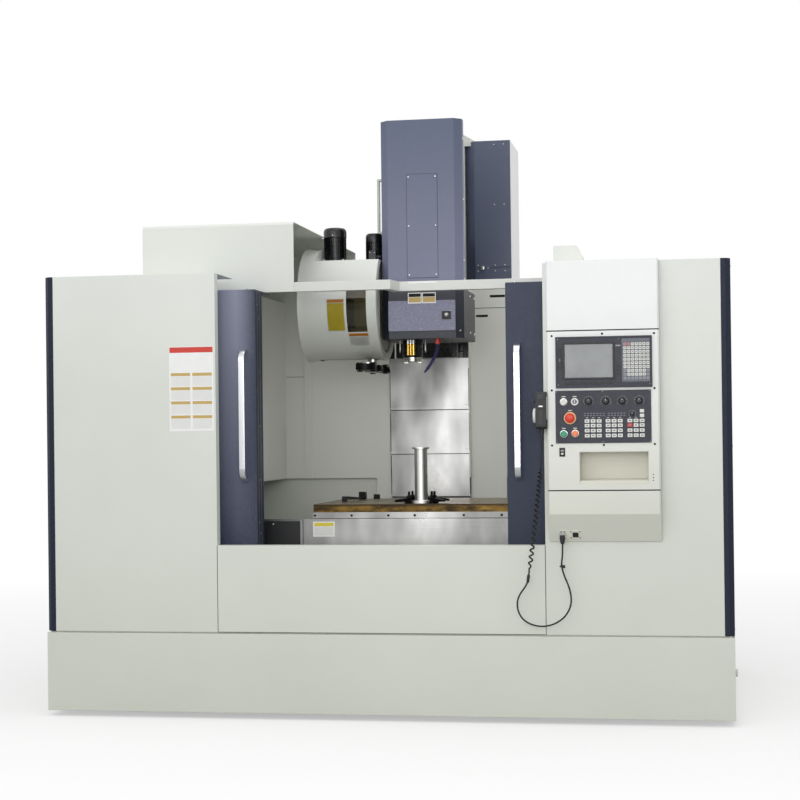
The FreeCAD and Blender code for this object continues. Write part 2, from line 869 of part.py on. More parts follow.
def make_table():
    x0 = table_left
    x1 = table_left + table_length
    table = box(x0, x1, table_front, table_front + table_depth, table_bottom, table_top)
    for y in slot_centres():
        neck = box(x0 - 1, x1 + 1, y - slot_width / 2, y + slot_width / 2, table_top - slot_neck - 1,
                   table_top + 1)
        foot_top = table_top - slot_neck
        foot = box(x0 - 1, x1 + 1, y - slot_foot_width / 2, y + slot_foot_width / 2,
                   foot_top - slot_foot_height, foot_top)
        table = table.cut(neck).cut(foot)
    lip = box(x0, x1, table_front - 10, table_front, apron_top + 3, table_lip_top)
    rails = []
    for y in table_rail_lines():
        rails.append(box(x0, x1, y - rail_width / 2, y + rail_width / 2, table_bottom - rail_height,
                         table_bottom))
    return joined(table, lip, *rails)


def make_test_bar():
    z0 = table_top
    foot = prism_z(24, bar_foot_radius, z0, z0 + 14, bar_x, bar_y)
    bar = prism_z(turned_sides, bar_radius, z0 + 14, z0 + bar_height, bar_x, bar_y)
    cap = prism_z(24, bar_flange_radius, z0 + bar_height, z0 + bar_height + 8, bar_x, bar_y)
    return joined(foot, bar, cap)


def strap(x, y, length, width, height, angle):
    """A clamping strap with a stepped heel, lying on the table."""
    outline = [
        (0, 0), (length * 0.3, 0), (length * 0.3, height * 0.35), (length, height * 0.35),
        (length, height * 0.75), (length * 0.3, height), (0, height),
    ]
    piece = front(outline, -width / 2, width / 2)
    piece.rotate(Vector(0, 0, 0), Vector(0, 0, 1), angle)
    piece.translate(Vector(x, y, table_top))
    return piece


def make_clamp_set():
    pieces = []
    for angle in (20.0, 78.0, 140.0, 215.0, 330.0):
        way = math.radians(angle)
        reach = bar_foot_radius + 3
        x = bar_x + reach * math.cos(way)
        y = bar_y + reach * math.sin(way)
        if angle > 180:
            y = max(y, table_front + 22)
        pieces.append(strap(x, y, strap_length, strap_width, strap_height, angle))
    x0 = table_left + big_block_inset
    y0 = table_front + big_block_depth
    pieces.append(box(x0, x0 + big_block_side, y0, y0 + big_block_side, table_top,
                      table_top + big_block_height))
    x1 = table_left + small_block_inset
    y1 = table_front + small_block_depth
    pieces.append(box(x1, x1 + small_block_length, y1, y1 + small_block_width, table_top,
                      table_top + small_block_height))
    pieces.append(strap(table_left + loose_strap_inset, table_front + loose_strap_depth,
                        loose_strap_length, strap_width + 2, strap_height - 2, 12.0))
    return pieces


# ---- head ----
def cover_outline(left, right, y0, y1, bevel):
    return [
        (left, y1), (left, y0 + bevel), (left + bevel, y0), (right - bevel, y0), (right, y0 + bevel),
        (right, y1),
    ]


def make_head_cover():
    y0 = cover_front
    y_side = cover_front + cover_side_depth
    y_low = cover_front + cover_lower_depth
    inner_bevel = cover_bevel - sheet * (2 - math.sqrt(2))

    def inner(y1):
        return cover_outline(cover_left + sheet, cover_right - sheet, y0 + sheet, y1, inner_bevel)

    tall = plan(cover_outline(cover_left, cover_right, y0, y_side, cover_bevel), cover_bottom, cover_top)
    tall = tall.cut(plan(inner(y_side + 1), cover_bottom - 1, cover_top - sheet))
    low = plan(cover_outline(cover_left, cover_right, y0, y_low, cover_bevel), cover_bottom, cover_shoulder)
    low = low.cut(plan(inner(y_low + 1), cover_bottom - 1, cover_shoulder - sheet))
    low = low.cut(plan(inner(y_side), cover_bottom - 1, cover_shoulder + 1))
    low = low.fuse(plan(cover_outline(cover_left, cover_right, y0, y_low, cover_bevel), cover_bottom,
                        cover_bottom + sheet))
    low = low.cut(rod_z(housing_flange_radius + 1, cover_bottom - 1, cover_bottom + sheet + 1, spindle_x,
                        spindle_y))
    well = motor_half_width + 5
    low = low.cut(box(spindle_x - well, spindle_x + well, spindle_y - well, spindle_y + well,
                      cover_shoulder - sheet - 1, cover_shoulder + 1))
    hatch = box(hatch_left, hatch_right, y0 - hatch_thickness, y0, hatch_bottom, hatch_top)
    stay_left = box(cover_left + sheet, spindle_x - head_half_width, 1060, 1100, head_shoulder - 60,
                    head_shoulder - 20)
    stay_right = box(spindle_x + head_half_width, cover_right - sheet, 1060, 1100, head_shoulder - 60,
                     head_shoulder - 20)
    return joined(tall, low, hatch, stay_left, stay_right)


def make_head_plate():
    return box(plate_left, plate_right, cover_front - sheet, cover_front, plate_bottom, plate_top)


def make_headstock():
    x0 = spindle_x - head_half_width
    x1 = spindle_x + head_half_width
    outline = [
        (head_front, head_bottom), (carriage_front - 120, head_bottom), (carriage_front, carriage_bottom),
        (carriage_back, carriage_bottom), (carriage_back, carriage_top), (carriage_front + 40, carriage_top),
        (carriage_front - 220, head_shoulder), (head_front, head_shoulder),
    ]
    body = side(outline, x0, x1)
    carriage = box(column_x - carriage_half_width, column_x + carriage_half_width, carriage_front,
                   carriage_back, carriage_bottom, carriage_top)
    blocks = []
    for way in (-1, 1):
        x = column_x + way * z_rail_spacing / 2
        for z in (carriage_bottom + 90, carriage_top - 90):
            wide = rail_width / 2 + block_side
            slot = rail_width / 2 + block_slot_gap
            rail_face = column_front - rail_height
            block = box(x - wide, x + wide, carriage_back, column_front - 8, z - block_length / 2,
                        z + block_length / 2)
            blocks.append(block.cut(box(x - slot, x + slot, rail_face - slide_gap, column_front,
                                        z - block_length, z + block_length)))
    bore = prism_z(turned_sides, housing_radius, head_bottom - 1, head_shoulder + 1, spindle_x, spindle_y)
    return joined(body, carriage, *blocks).cut(bore)


def make_spindle_motor():
    half = motor_half_width
    corner = 34.0
    outline = [
        (spindle_x - half, spindle_y - half + corner), (spindle_x - half + corner, spindle_y - half),
        (spindle_x + half - corner, spindle_y - half), (spindle_x + half, spindle_y - half + corner),
        (spindle_x + half, spindle_y + half - corner), (spindle_x + half - corner, spindle_y + half),
        (spindle_x - half + corner, spindle_y + half), (spindle_x - half, spindle_y + half - corner),
    ]
    body = plan(outline, head_shoulder, head_shoulder + motor_height)
    fan = prism_z(8, half - 8, head_shoulder + motor_height, head_shoulder + motor_height + 60, spindle_x,
                  spindle_y)
    coupling_space = prism_z(8, housing_radius - 8, head_shoulder - 1, head_shoulder + 70, spindle_x,
                             spindle_y)
    return joined(body, fan).cut(coupling_space)


def make_spindle_housing():
    flange = prism_z(turned_sides, housing_flange_radius, housing_flange_bottom, head_bottom, spindle_x,
                     spindle_y)
    cartridge = prism_z(turned_sides, housing_radius, spindle_nose_top + turning_gap, head_shoulder,
                        spindle_x, spindle_y)
    bore = prism_z(turned_sides, bore_corner(spindle_shaft_radius), spindle_nose_top - 1, head_shoulder + 1,
                   spindle_x, spindle_y)
    shape = joined(flange, cartridge).cut(bore)
    for way in (-1, 1):
        x = spindle_x + way * (housing_flange_radius - 6)
        shape = shape.fuse(prism_z(6, 4.0, housing_flange_bottom - 60, housing_flange_bottom, x, spindle_y))
    return shape.removeSplitter()


def make_spindle():
    nose = prism_z(turned_sides, spindle_nose_radius, spindle_nose_bottom, spindle_nose_top, spindle_x,
                   spindle_y)
    shaft = rod_z(spindle_shaft_radius, spindle_nose_top, head_shoulder + 40, spindle_x, spindle_y)
    taper_top = taper_radius - taper_depth * taper_slope / 2
    mouth = Vector(spindle_x, spindle_y, spindle_nose_bottom)
    taper = frustum(ring_points(turned_sides, taper_radius, mouth, Vector(1, 0, 0), Vector(0, 1, 0)),
                    ring_points(turned_sides, taper_top, mouth + Vector(0, 0, taper_depth), Vector(1, 0, 0),
                                Vector(0, 1, 0)))
    shape = joined(nose, shaft).cut(taper)
    for way in (-1, 1):
        x = spindle_x + way * 33.0
        key = box(x - 9, x + 9, spindle_y - 8, spindle_y + 8, spindle_nose_bottom - 8, spindle_nose_bottom)
        shape = shape.fuse(key)
    return shape.removeSplitter()


def make_coolant_hose():
    top = Vector(121.0, 968.0, cover_bottom)
    fitting = prism_z(6, 13.0, cover_bottom - 25, cover_bottom, top.x, top.y)
    route = [
        Vector(top.x, top.y, cover_bottom - 25), Vector(top.x - 1, top.y - 2, 1612.0),
        Vector(109.0, top.y - 8, 1580.0), Vector(84.0, top.y - 12, 1546.0), Vector(56.0, top.y - 14, 1502.0),
    ]
    wire = route_wire(route, "coolant hose")
    hose = tube(wire, hose_radius, route[0], route[1] - route[0], 6)
    return joined(fitting, hose)


# ---- column plates ----
def column_plate(index, z0, z1):
    x0 = column_x - column_plate_width / 2
    x1 = column_x + column_plate_width / 2
    y0 = column_plate_front + index * column_plate_step
    plate = box(x0, x1, y0, y0 + column_plate_thickness, z0, z1)
    lip = box(x0, x1, y0 - 3, y0, z0, z0 + column_plate_lip)
    return joined(plate, lip)


# ---- tool magazine ----
def make_magazine_cover():
    y = spindle_y
    rim_end = drum_left + drum_rim_width
    outer = prism_x(drum_sides, drum_radius, rim_end, drum_right, y, drum_z)
    flare = frustum_x(drum_sides, drum_rim_radius, drum_radius, drum_left, rim_end, y, drum_z)
    inner = prism_x(drum_sides, drum_radius - drum_wall, drum_left + drum_wall, drum_right - drum_wall, y,
                    drum_z)
    mouth = prism_x(drum_sides, drum_radius - drum_mouth_lip, drum_right - drum_wall - 1, drum_right + 1, y,
                    drum_z)
    far = drum_rim_radius + 1
    above = box(drum_platform_left, drum_right + 1, y - far, y + far, drum_platform, drum_z + far)
    platform = box(drum_platform_left, drum_right, y - drum_radius, y + drum_radius,
                   drum_platform - drum_wall, drum_platform)
    step = box(drum_platform_left - drum_wall, drum_platform_left, y - drum_radius, y + drum_radius,
               drum_platform - drum_wall, drum_z + drum_radius)
    solid = joined(outer, flare)
    ends = platform.fuse(step).common(outer)
    shell = solid.cut(inner).cut(mouth).cut(above)
    cover = joined(shell, ends)
    pane_hole = box(window_left_x, window_right_x, y - drum_radius - 1, y - 150, window_low_z, window_high_z)
    slot = box(hatch_slot_left, hatch_slot_right, y - hatch_slot_half, y + hatch_slot_half,
               drum_z - drum_radius - 1, drum_z - drum_radius + 60)
    bracket_hole = box(gearbox_left - 4, column_x - column_half_width + 4, gearbox_rear,
                       y + drum_radius + 1, bracket_bottom - 4, bracket_top + 4)
    return cover.cut(pane_hole).cut(slot).cut(bracket_hole)


def make_magazine_window():
    y = spindle_y
    ring = prism_x(drum_sides, drum_radius - 0.5, window_left_x + slide_gap, window_right_x - slide_gap, y,
                   drum_z)
    ring = ring.cut(prism_x(drum_sides, drum_radius - drum_wall + 0.5, window_left_x - 1, window_right_x + 1,
                            y, drum_z))
    part = box(window_left_x, window_right_x, y - drum_radius - 1, y - 150, window_low_z + slide_gap,
               window_high_z - slide_gap)
    return ring.common(part)


def make_magazine_disc():
    y = spindle_y
    pot_left = disc_left + disc_thickness
    disc = prism_x(disc_sides, disc_radius, disc_left, pot_left, y, drum_z)
    hub = prism_x(turned_sides, disc_hub_radius, disc_left, disc_left + disc_hub_length, y, drum_z)
    pots = []
    for n in range(pot_count):
        angle = 2 * math.pi * n / pot_count
        py = y + pot_circle * math.sin(angle)
        pz = drum_z - pot_circle * math.cos(angle)
        pots.append(prism_x(pot_sides, pot_radius, pot_left, pot_left + pot_length, py, pz))
    bore = prism_x(turned_sides, bore_corner(axle_radius), disc_left - 1, disc_left + disc_hub_length + 1, y,
                   drum_z)
    return joined(disc, hub, *pots).cut(bore)


def make_arm_gearbox():
    y = spindle_y
    body = box(gearbox_left, gearbox_right, gearbox_front, gearbox_rear, gearbox_bottom,
               drum_platform - drum_wall)
    arm = box(gearbox_left, column_x - column_half_width, gearbox_rear, column_front + 90, bracket_bottom,
              bracket_top)
    axle = rod_x(axle_radius, drum_left + drum_wall, gearbox_left, y, drum_z)
    hole = prism_z(turned_sides, bore_corner(arm_shaft_radius), gearbox_bottom - 26, arm_shaft_top + 20,
                   arm_x, y)
    collar = prism_z(turned_sides, arm_shaft_radius + 14, gearbox_bottom - 25, gearbox_bottom, arm_x, y)
    return joined(body, arm, axle, collar).cut(hole)


def make_magazine_motors():
    z0 = drum_platform
    first = joined(
        box(disc_motor_x - 60, disc_motor_x + 60, spindle_y - 60, spindle_y + 60, z0, z0 + 14),
        prism_z(turned_sides, disc_motor_radius, z0 + 14, z0 + disc_motor_height, disc_motor_x, spindle_y),
    )
    second = joined(
        prism_z(turned_sides, arm_motor_radius, z0, z0 + arm_motor_height, arm_x + 14, spindle_y),
        box(arm_x - 4, arm_x + 32, spindle_y - arm_motor_radius - 22, spindle_y - 20, z0, z0 + 56),
    )
    return [first, second]


def make_arm_shaft():
    low = arm_top - arm_thickness - turning_gap
    shaft = rod_z(arm_shaft_radius, low, arm_shaft_top, arm_x, spindle_y)
    cap = prism_z(6, arm_shaft_radius + 11, low - arm_cap, low, arm_x, spindle_y)
    return joined(shaft, cap)


def make_change_arm():
    z0 = arm_top - arm_thickness
    x = arm_x
    y = spindle_y
    shape = prism_z(turned_sides, arm_hub_radius, z0, arm_top, x, y)
    shape = shape.fuse(box(x - arm_bar_width / 2, x + arm_bar_width / 2, y - arm_reach, y + arm_reach, z0,
                           arm_top))
    for way in (-1, 1):
        shape = shape.fuse(prism_z(turned_sides, arm_end_radius, z0, arm_top, x, y + way * arm_reach))
    for way in (-1, 1):
        shape = shape.cut(prism_z(turned_sides, arm_jaw_radius, z0 - 1, arm_top + 1, x, y + way * arm_reach))
        reach = arm_reach if way > 0 else -arm_reach
        mouth_x0 = min(x, x + way * (arm_end_radius + 5))
        mouth_x1 = max(x, x + way * (arm_end_radius + 5))
        shape = shape.cut(box(mouth_x0, mouth_x1, y + reach - arm_jaw_radius, y + reach + arm_jaw_radius,
                              z0 - 1, arm_top + 1))
    shape = shape.cut(prism_z(turned_sides, bore_corner(arm_shaft_radius), z0 - 1, arm_top + 1, x, y))
    return shape.removeSplitter()


# ---- doors ----
def make_door(way):
    """The left door for way = 1; the right door is the mirror image of the same shape."""
    edge = left_door_edge if way > 0 else -right_door_edge
    x1 = edge
    x0 = edge - door_width
    y0 = door_front
    beam_rear = (beam_front_left if way > 0 else beam_front_right) + door_plate_overlap
    face = box(x0, x1, y0, y0 + sheet, door_bottom, door_top)
    window_x1 = edge - window_offset
    window_x0 = window_x1 - window_width
    face = face.cut(box(window_x0, window_x1, y0 - 1, y0 + sheet + 1, window_bottom,
                        window_bottom + window_height))
    lead = box(x1 - door_edge_width, x1, y0, y0 + door_edge_depth, door_bottom, door_top)
    lead = lead.cut(box(x1 - door_edge_width + sheet, x1 - sheet, y0 + sheet, y0 + door_edge_depth - sheet,
                        door_bottom - 1, door_top - sheet))
    tail = box(x0, x0 + sheet, y0, y0 + door_tail_depth, door_bottom, door_top)
    roof = box(x0, x1, y0, beam_rear, door_top - sheet, door_top)
    floor = box(x0, x1, y0, y0 + door_edge_depth, door_bottom, door_bottom + sheet)
    shoes = []
    low = track_height + slide_gap
    for x in (x0 + 60, x1 - 60 - shoe_length):
        shoe = box(x, x + shoe_length, track_rail_y - shoe_width / 2, track_rail_y + shoe_width / 2, low,
                   door_bottom)
        groove = box(x - 1, x + shoe_length + 1, track_rail_y - track_rail_width / 2 - slide_gap,
                     track_rail_y + track_rail_width / 2 + slide_gap, low - 1,
                     track_height + track_rail_height + slide_gap)
        shoes.append(shoe.cut(groove))
    door = joined(face, lead, tail, roof, floor, *shoes)
    return door if way > 0 else mirrored(door)


def make_window(way):
    edge = left_door_edge if way > 0 else -right_door_edge
    x1 = edge - window_offset
    x0 = x1 - window_width
    y0 = door_front + sheet
    pane = box(x0 - window_lap, x1 + window_lap, y0, y0 + window_glass, window_bottom - window_lap,
               window_bottom + window_height + window_lap)
    return pane if way > 0 else mirrored(pane)


def bow(reach, bend, z0, z1):
    """One face of a bow handle, as seen from the side, from the door out and back."""
    y_door = door_front
    y_out = door_front - reach
    root = math.sqrt(0.5)
    edges = [
        Part.LineSegment(Vector(0, y_door, z0), Vector(0, y_out + bend, z0)).toShape(),
        Part.Arc(
            Vector(0, y_out + bend, z0), Vector(0, y_out + bend * (1 - root), z0 + bend * (1 - root)),
            Vector(0, y_out, z0 + bend),
        ).toShape(),
        Part.LineSegment(Vector(0, y_out, z0 + bend), Vector(0, y_out, z1 - bend)).toShape(),
        Part.Arc(
            Vector(0, y_out, z1 - bend), Vector(0, y_out + bend * (1 - root), z1 - bend * (1 - root)),
            Vector(0, y_out + bend, z1),
        ).toShape(),
        Part.LineSegment(Vector(0, y_out + bend, z1), Vector(0, y_door, z1)).toShape(),
        Part.LineSegment(Vector(0, y_door, z1), Vector(0, y_door, z0)).toShape(),
    ]
    return Part.Face(Part.Wire(edges))


def make_handle(way):
    x = left_door_edge - handle_offset if way > 0 else right_door_edge + handle_offset
    t = handle_thickness
    solid = bow(handle_reach, handle_bend, handle_bottom, handle_top).extrude(Vector(handle_width, 0, 0))
    hollow = bow(handle_reach - t, handle_bend - t, handle_bottom + t, handle_top - t)
    handle = solid.cut(hollow.extrude(Vector(handle_width, 0, 0)))
    handle.translate(Vector(x - handle_width / 2, 0, 0))
    return handle


# ---- control box ----
def stem_holes():
    y0 = box_front - operator_proud - bezel_height - 1
    y1 = box_front + stem_length + 12
    holes = []
    for x, z in (stop_centre, start_centre, hold_centre, power_centre):
        half = stem_half + stem_gap
        holes.append(box(x - half, x + half, y0, y1, z - half, z + half))
    holes.append(rod_y(lock_radius + stem_gap, y0, y1, *lock_centre))
    return holes


def make_control_box():
    outline = [
        (box_front, cabinet_top), (box_front, box_lower_edge), (box_bottom_front, box_bottom),
        (box_rear, box_bottom), (box_rear, cabinet_top),
    ]
    casing = side(outline, box_left, box_right)
    corners = []
    for edge in casing.Edges:
        ends = [v.Point for v in edge.Vertexes]
        if all(abs(p.y - box_front) < 0.1 for p in ends) and abs(ends[0].x - ends[1].x) < 0.1:
            corners.append(edge)
    casing = casing.makeChamfer(box_corner, corners)
    for level in groove_levels:
        casing = casing.cut(box(box_left - 1, box_right + 1, box_front - 1, box_front + groove_depth,
                                level - groove_height / 2, level + groove_height / 2))
    casing = casing.cut(box(tray_left, tray_right, box_front - 1, box_front + tray_depth, tray_bottom,
                            tray_top))
    for hole in stem_holes():
        casing = casing.cut(hole)
    holder_y0 = pendant_front + 14
    holder = box(box_left - pendant_holder, box_left, max(holder_y0, box_front + box_corner),
                 pendant_front + pendant_depth, pendant_bottom + 40, pendant_top - 20)
    return joined(casing, holder)


def make_display_unit():
    y0 = box_front - display_proud
    unit = box(display_left, display_right, y0, box_front, display_bottom, display_top)
    recess = box(screen_left, screen_right, y0 - 1, y0 + screen_recess, screen_bottom, screen_top)
    return unit.cut(recess)


def make_display_glass():
    y1 = box_front - display_proud + screen_recess
    return box(screen_left + slide_gap, screen_right - slide_gap, y1 - glass_thickness, y1,
               screen_bottom + slide_gap, screen_top - slide_gap)


def make_operator_panel():
    y0 = box_front - operator_proud
    panel = box(operator_left, operator_right, y0, box_front, operator_bottom, operator_top)
    bezels = [prism_y(bezel_sides, stop_bezel, y0 - bezel_height, y0, *stop_centre)]
    for centre in (start_centre, hold_centre, power_centre, lock_centre):
        bezels.append(prism_y(bezel_sides, button_bezel, y0 - bezel_height, y0, *centre))
    panel = joined(panel, *bezels)
    for hole in stem_holes():
        panel = panel.cut(hole)
    return panel


def make_panel_controls():
    pieces = []
    y_key = box_front - display_proud
    for column in range(keypad_columns):
        for row in range(keypad_rows):
            x = keypad_left + column * keypad_pitch
            z = keypad_top - row * keypad_pitch
            pieces.append(box(x - key_size / 2, x + key_size / 2, y_key - key_height, y_key, z - key_size / 2,
                              z + key_size / 2))
    y_panel = box_front - operator_proud
    for left in key_block_lefts:
        for column in range(3):
            for z in key_block_rows:
                x = left + column * key_block_pitch
                pieces.append(box(x - big_key_width / 2, x + big_key_width / 2, y_panel - key_height, y_panel,
                                  z - big_key_height / 2, z + big_key_height / 2))
    for (x, z), radius in zip(knob_centres, knob_radii):
        pieces.append(prism_y(12, radius, y_panel - knob_height, y_panel, x, z))
    return pieces


def square_stem(x, z, y0):
    return box(x - stem_half, x + stem_half, y0, box_front + stem_length, z - stem_half, z + stem_half)


def make_button(centre, radius, height, seat):
    """A push button whose stem runs back through the panel; seat is the gap left for its travel."""
    x, z = centre
    y1 = box_front - operator_proud - bezel_height - seat
    head = prism_y(24, radius, y1 - height, y1, x, z)
    return joined(head, square_stem(x, z, y1))


def make_emergency_stop():
    x, z = stop_centre
    y_face = box_front - operator_proud - bezel_height - stop_height
    crown = prism_y(32, stop_radius - 3, y_face, y_face + 3, x, z)
    rim = prism_y(32, stop_radius, y_face + 3, y_face + 13, x, z)
    return joined(crown, rim, square_stem(x, z, y_face + 13))


def make_key_switch():
    x, z = lock_centre
    y0 = box_front - operator_proud - bezel_height - 4
    barrel = prism_y(24, lock_radius, y0, box_front + stem_length, x, z)
    slot = box(x - 1.6, x + 1.6, y0 - 1, y0 + 6, z - 6, z + 6)
    return barrel.cut(slot)


def make_panel_sockets():
    port = box(port_left, port_right, box_front - 4, box_front, port_bottom, port_top)
    drop = box_lower_edge - box_bottom
    run = box_bottom_front - box_front
    length = math.hypot(drop, run)
    out_way = Vector(0, -drop / length, -run / length)
    face_y = box_front + (box_lower_edge - socket_z) / drop * run
    centre = Vector(socket_x, face_y, socket_z)
    half = socket_plate_half
    plate = Part.makeBox(socket_plate_length, 3, 2 * half, Vector(socket_x - socket_plate_inset, -3, -half))
    plate.rotate(Vector(0, 0, 0), Vector(1, 0, 0), math.degrees(math.atan2(run, drop)))
    plate.translate(Vector(0, face_y, socket_z))
    corners = ring_points(12, socket_radius, centre, Vector(1, 0, 0), out_way.cross(Vector(1, 0, 0)))
    ring = closed_face(corners).extrude(out_way * socket_length)
    tip = centre + out_way * socket_length
    plug_y = tip.y - 4
    plug = prism_z(12, plug_radius, tip.z - plug_drop + 10, tip.z + 12, socket_x, plug_y)
    return [port, joined(plate, ring, plug)]


def plug_exit():
    drop = box_lower_edge - box_bottom
    run = box_bottom_front - box_front
    length = math.hypot(drop, run)
    face_y = box_front + (box_lower_edge - socket_z) / drop * run
    tip_y = face_y - socket_length * drop / length
    tip_z = socket_z - socket_length * run / length
    return Vector(socket_x, tip_y - 4, tip_z - plug_drop + 10)


# ---- pendant ----
def make_pendant_body():
    x0 = pendant_left
    x1 = box_left - pendant_holder
    y0 = pendant_front
    y1 = pendant_front + pendant_depth
    body = box(x0, x1, y0, y1, pendant_bottom, pendant_top)
    uprights = []
    for edge in body.Edges:
        ends = [v.Point for v in edge.Vertexes]
        if abs(ends[0].x - ends[1].x) > 1:
            uprights.append(edge)
    body = body.makeChamfer(pendant_round, uprights)
    spigot_x = pendant_left - pendant_wheel_gap
    middle_y = y0 + pendant_depth / 2
    spigot_hole = rod_x(6 + stem_gap, x0 - 1, x0 + 22, middle_y, pendant_wheel_z)
    selector = prism_x(12, 11.0, spigot_x - 8, x0, middle_y, pendant_top - 34)
    corner = lead_corner()
    middle_z = pendant_bottom - relief_length * 0.45
    collar = prism_z(12, relief_radius, middle_z, pendant_bottom, corner.x, corner.y)
    relief = prism_z(12, relief_radius * 0.6, pendant_bottom - relief_length, middle_z, corner.x, corner.y)
    return joined(body, selector, collar, relief).cut(spigot_hole)


def make_pendant_wheel():
    middle_y = pendant_front + pendant_depth / 2
    x1 = pendant_left - pendant_wheel_gap
    x0 = x1 - pendant_wheel_width
    wheel = prism_x(32, pendant_wheel_radius, x0, x1, middle_y, pendant_wheel_z)
    crank = prism_x(8, 5.0, x0 - 10, x0, middle_y, pendant_wheel_z + 18)
    pin = rod_x(6.0, x1, pendant_left + 20, middle_y, pendant_wheel_z)
    return joined(wheel, crank, pin)


def coil_axis(share):
    """A point on the curved centre line of the curly stretch, and its direction."""
    a = coil_top * (1 - share) ** 2 + coil_bend * (2 * share * (1 - share)) + coil_bottom * share ** 2
    d = (coil_bend - coil_top) * (2 * (1 - share)) + (coil_bottom - coil_bend) * (2 * share)
    return a, d.normalize()


def coil_point(turn):
    """A point of the curly cord after this many turns; both ends draw in to the centre line."""
    share = turn / coil_turns
    centre, way = coil_axis(share)
    grow = min(1.0, turn / 1.0, (coil_turns - turn) / 1.0)
    radius = (coil_outer_radius - cord_radius) * grow * grow * (3 - 2 * grow)
    aside = way.cross(Vector(0, 1, 0)).normalize()
    ahead = way.cross(aside)
    angle = 2 * math.pi * turn
    return centre + aside * (radius * math.cos(angle)) + ahead * (radius * math.sin(angle))


def coil_direction(turn):
    step = 0.001
    return (coil_point(turn + step) - coil_point(turn - step)).normalize()


def coil_ends():
    straight = 2 * cord_radius
    top_way = coil_axis(0)[1]
    bottom_way = coil_axis(1)[1]
    return coil_top - top_way * straight, coil_bottom + bottom_way * straight, top_way, bottom_way


def make_pendant_coil():
    start, end, top_way, bottom_way = coil_ends()
    edges = [Part.LineSegment(start, coil_top).toShape()]
    steps = coil_turns * coil_steps
    last = coil_top
    last_way = top_way
    for n in range(1, steps + 1):
        turn = n / coil_steps
        point = coil_point(turn)
        way = coil_direction(turn) if n < steps else bottom_way
        edges += biarc(last, last_way, point, way)
        last = point
        last_way = way
    edges.append(Part.LineSegment(last, end).toShape())
    wire = Part.Wire(edges)
    solid = tube(wire, cord_radius, start, top_way, cord_sides)
    points = []
    path = 0.0
    for edge in wire.Edges:
        span = edge.LastParameter - edge.FirstParameter
        for k in range(6):
            points.append((edge.valueAt(edge.FirstParameter + span * k / 6), path + edge.Length * k / 6))
        path += edge.Length
    far_along = 8 * cord_radius
    least = min((p - q).Length for p, a in points for q, b in points if b - a > far_along)
    print("curly cord length", round(path), "least gap", round(least - 2 * cord_radius, 2))
    return solid


def lead_corner():
    """Where the lead turns from straight down to the direction of the curls."""
    start, end, top_way, bottom_way = coil_ends()
    return start - top_way * relief_drop


def make_pendant_lead():
    start, end, top_way, bottom_way = coil_ends()
    corner = lead_corner()
    route = [Vector(corner.x, corner.y, pendant_bottom - relief_length), corner, start]
    wire = route_wire(route, "pendant lead")
    return tube(wire, cord_radius, route[0], route[1] - route[0], cord_sides)


def make_pendant_loop():
    start, end, top_way, bottom_way = coil_ends()
    last = plug_exit()
    route = [
        end, end + bottom_way * 40, Vector(606.0, -59.0, 520.0), Vector(600.0, -58.0, 470.0),
        Vector(620.0, -57.0, 424.0), Vector(662.0, -56.0, 398.0), Vector(716.0, -56.0, 391.0),
        Vector(770.0, -56.0, 408.0), Vector(812.0, -56.0, 444.0), Vector(832.0, -56.0, 497.0),
        Vector(822.0, -56.0, 556.0), Vector(799.0, -56.0, 608.0), Vector(788.0, -56.0, 652.0),
        Vector(last.x, last.y, last.z - 50), last,
    ]
    wire = route_wire(route, "pendant loop")
    return tube(wire, cord_radius, route[0], route[1] - route[0], cord_sides)


# ---- rear cabinet ----
def make_rear_cabinet():
    x0 = column_x - rear_half_width
    x1 = column_x + rear_half_width
    y1 = column_rear + rear_depth
    shell = box(x0, x1, column_rear, y1, rear_bottom, rear_top)
    shell = shell.cut(box(x0 + sheet, x1 - sheet, column_rear + sheet, y1 + 1, rear_bottom + sheet,
                          rear_top - sheet))
    plate = box(x0 + 60, x1 - 60, column_rear + sheet, column_rear + sheet + 30, rear_bottom + 80,
                rear_top - 80)
    return joined(shell, plate)


def make_rear_door():
    x0 = column_x - rear_half_width
    x1 = column_x + rear_half_width
    y0 = column_rear + rear_depth + slide_gap
    t = rear_door_thickness
    door = box(x0, x1, y0, y0 + t, rear_bottom, rear_top)
    door = door.cut(box(x0 + sheet, x1 - sheet, y0 - 1, y0 + t - sheet, rear_bottom + sheet,
                        rear_top - sheet))
    slots = []
    for n in range(6):
        z = rear_top - vent_top_gap + n * vent_pitch
        slots.append(box(column_x - vent_half_width, column_x + vent_half_width, y0 - 1, y0 + t + 1, z,
                         z + vent_height))
    for slot in slots:
        door = door.cut(slot)
    return door


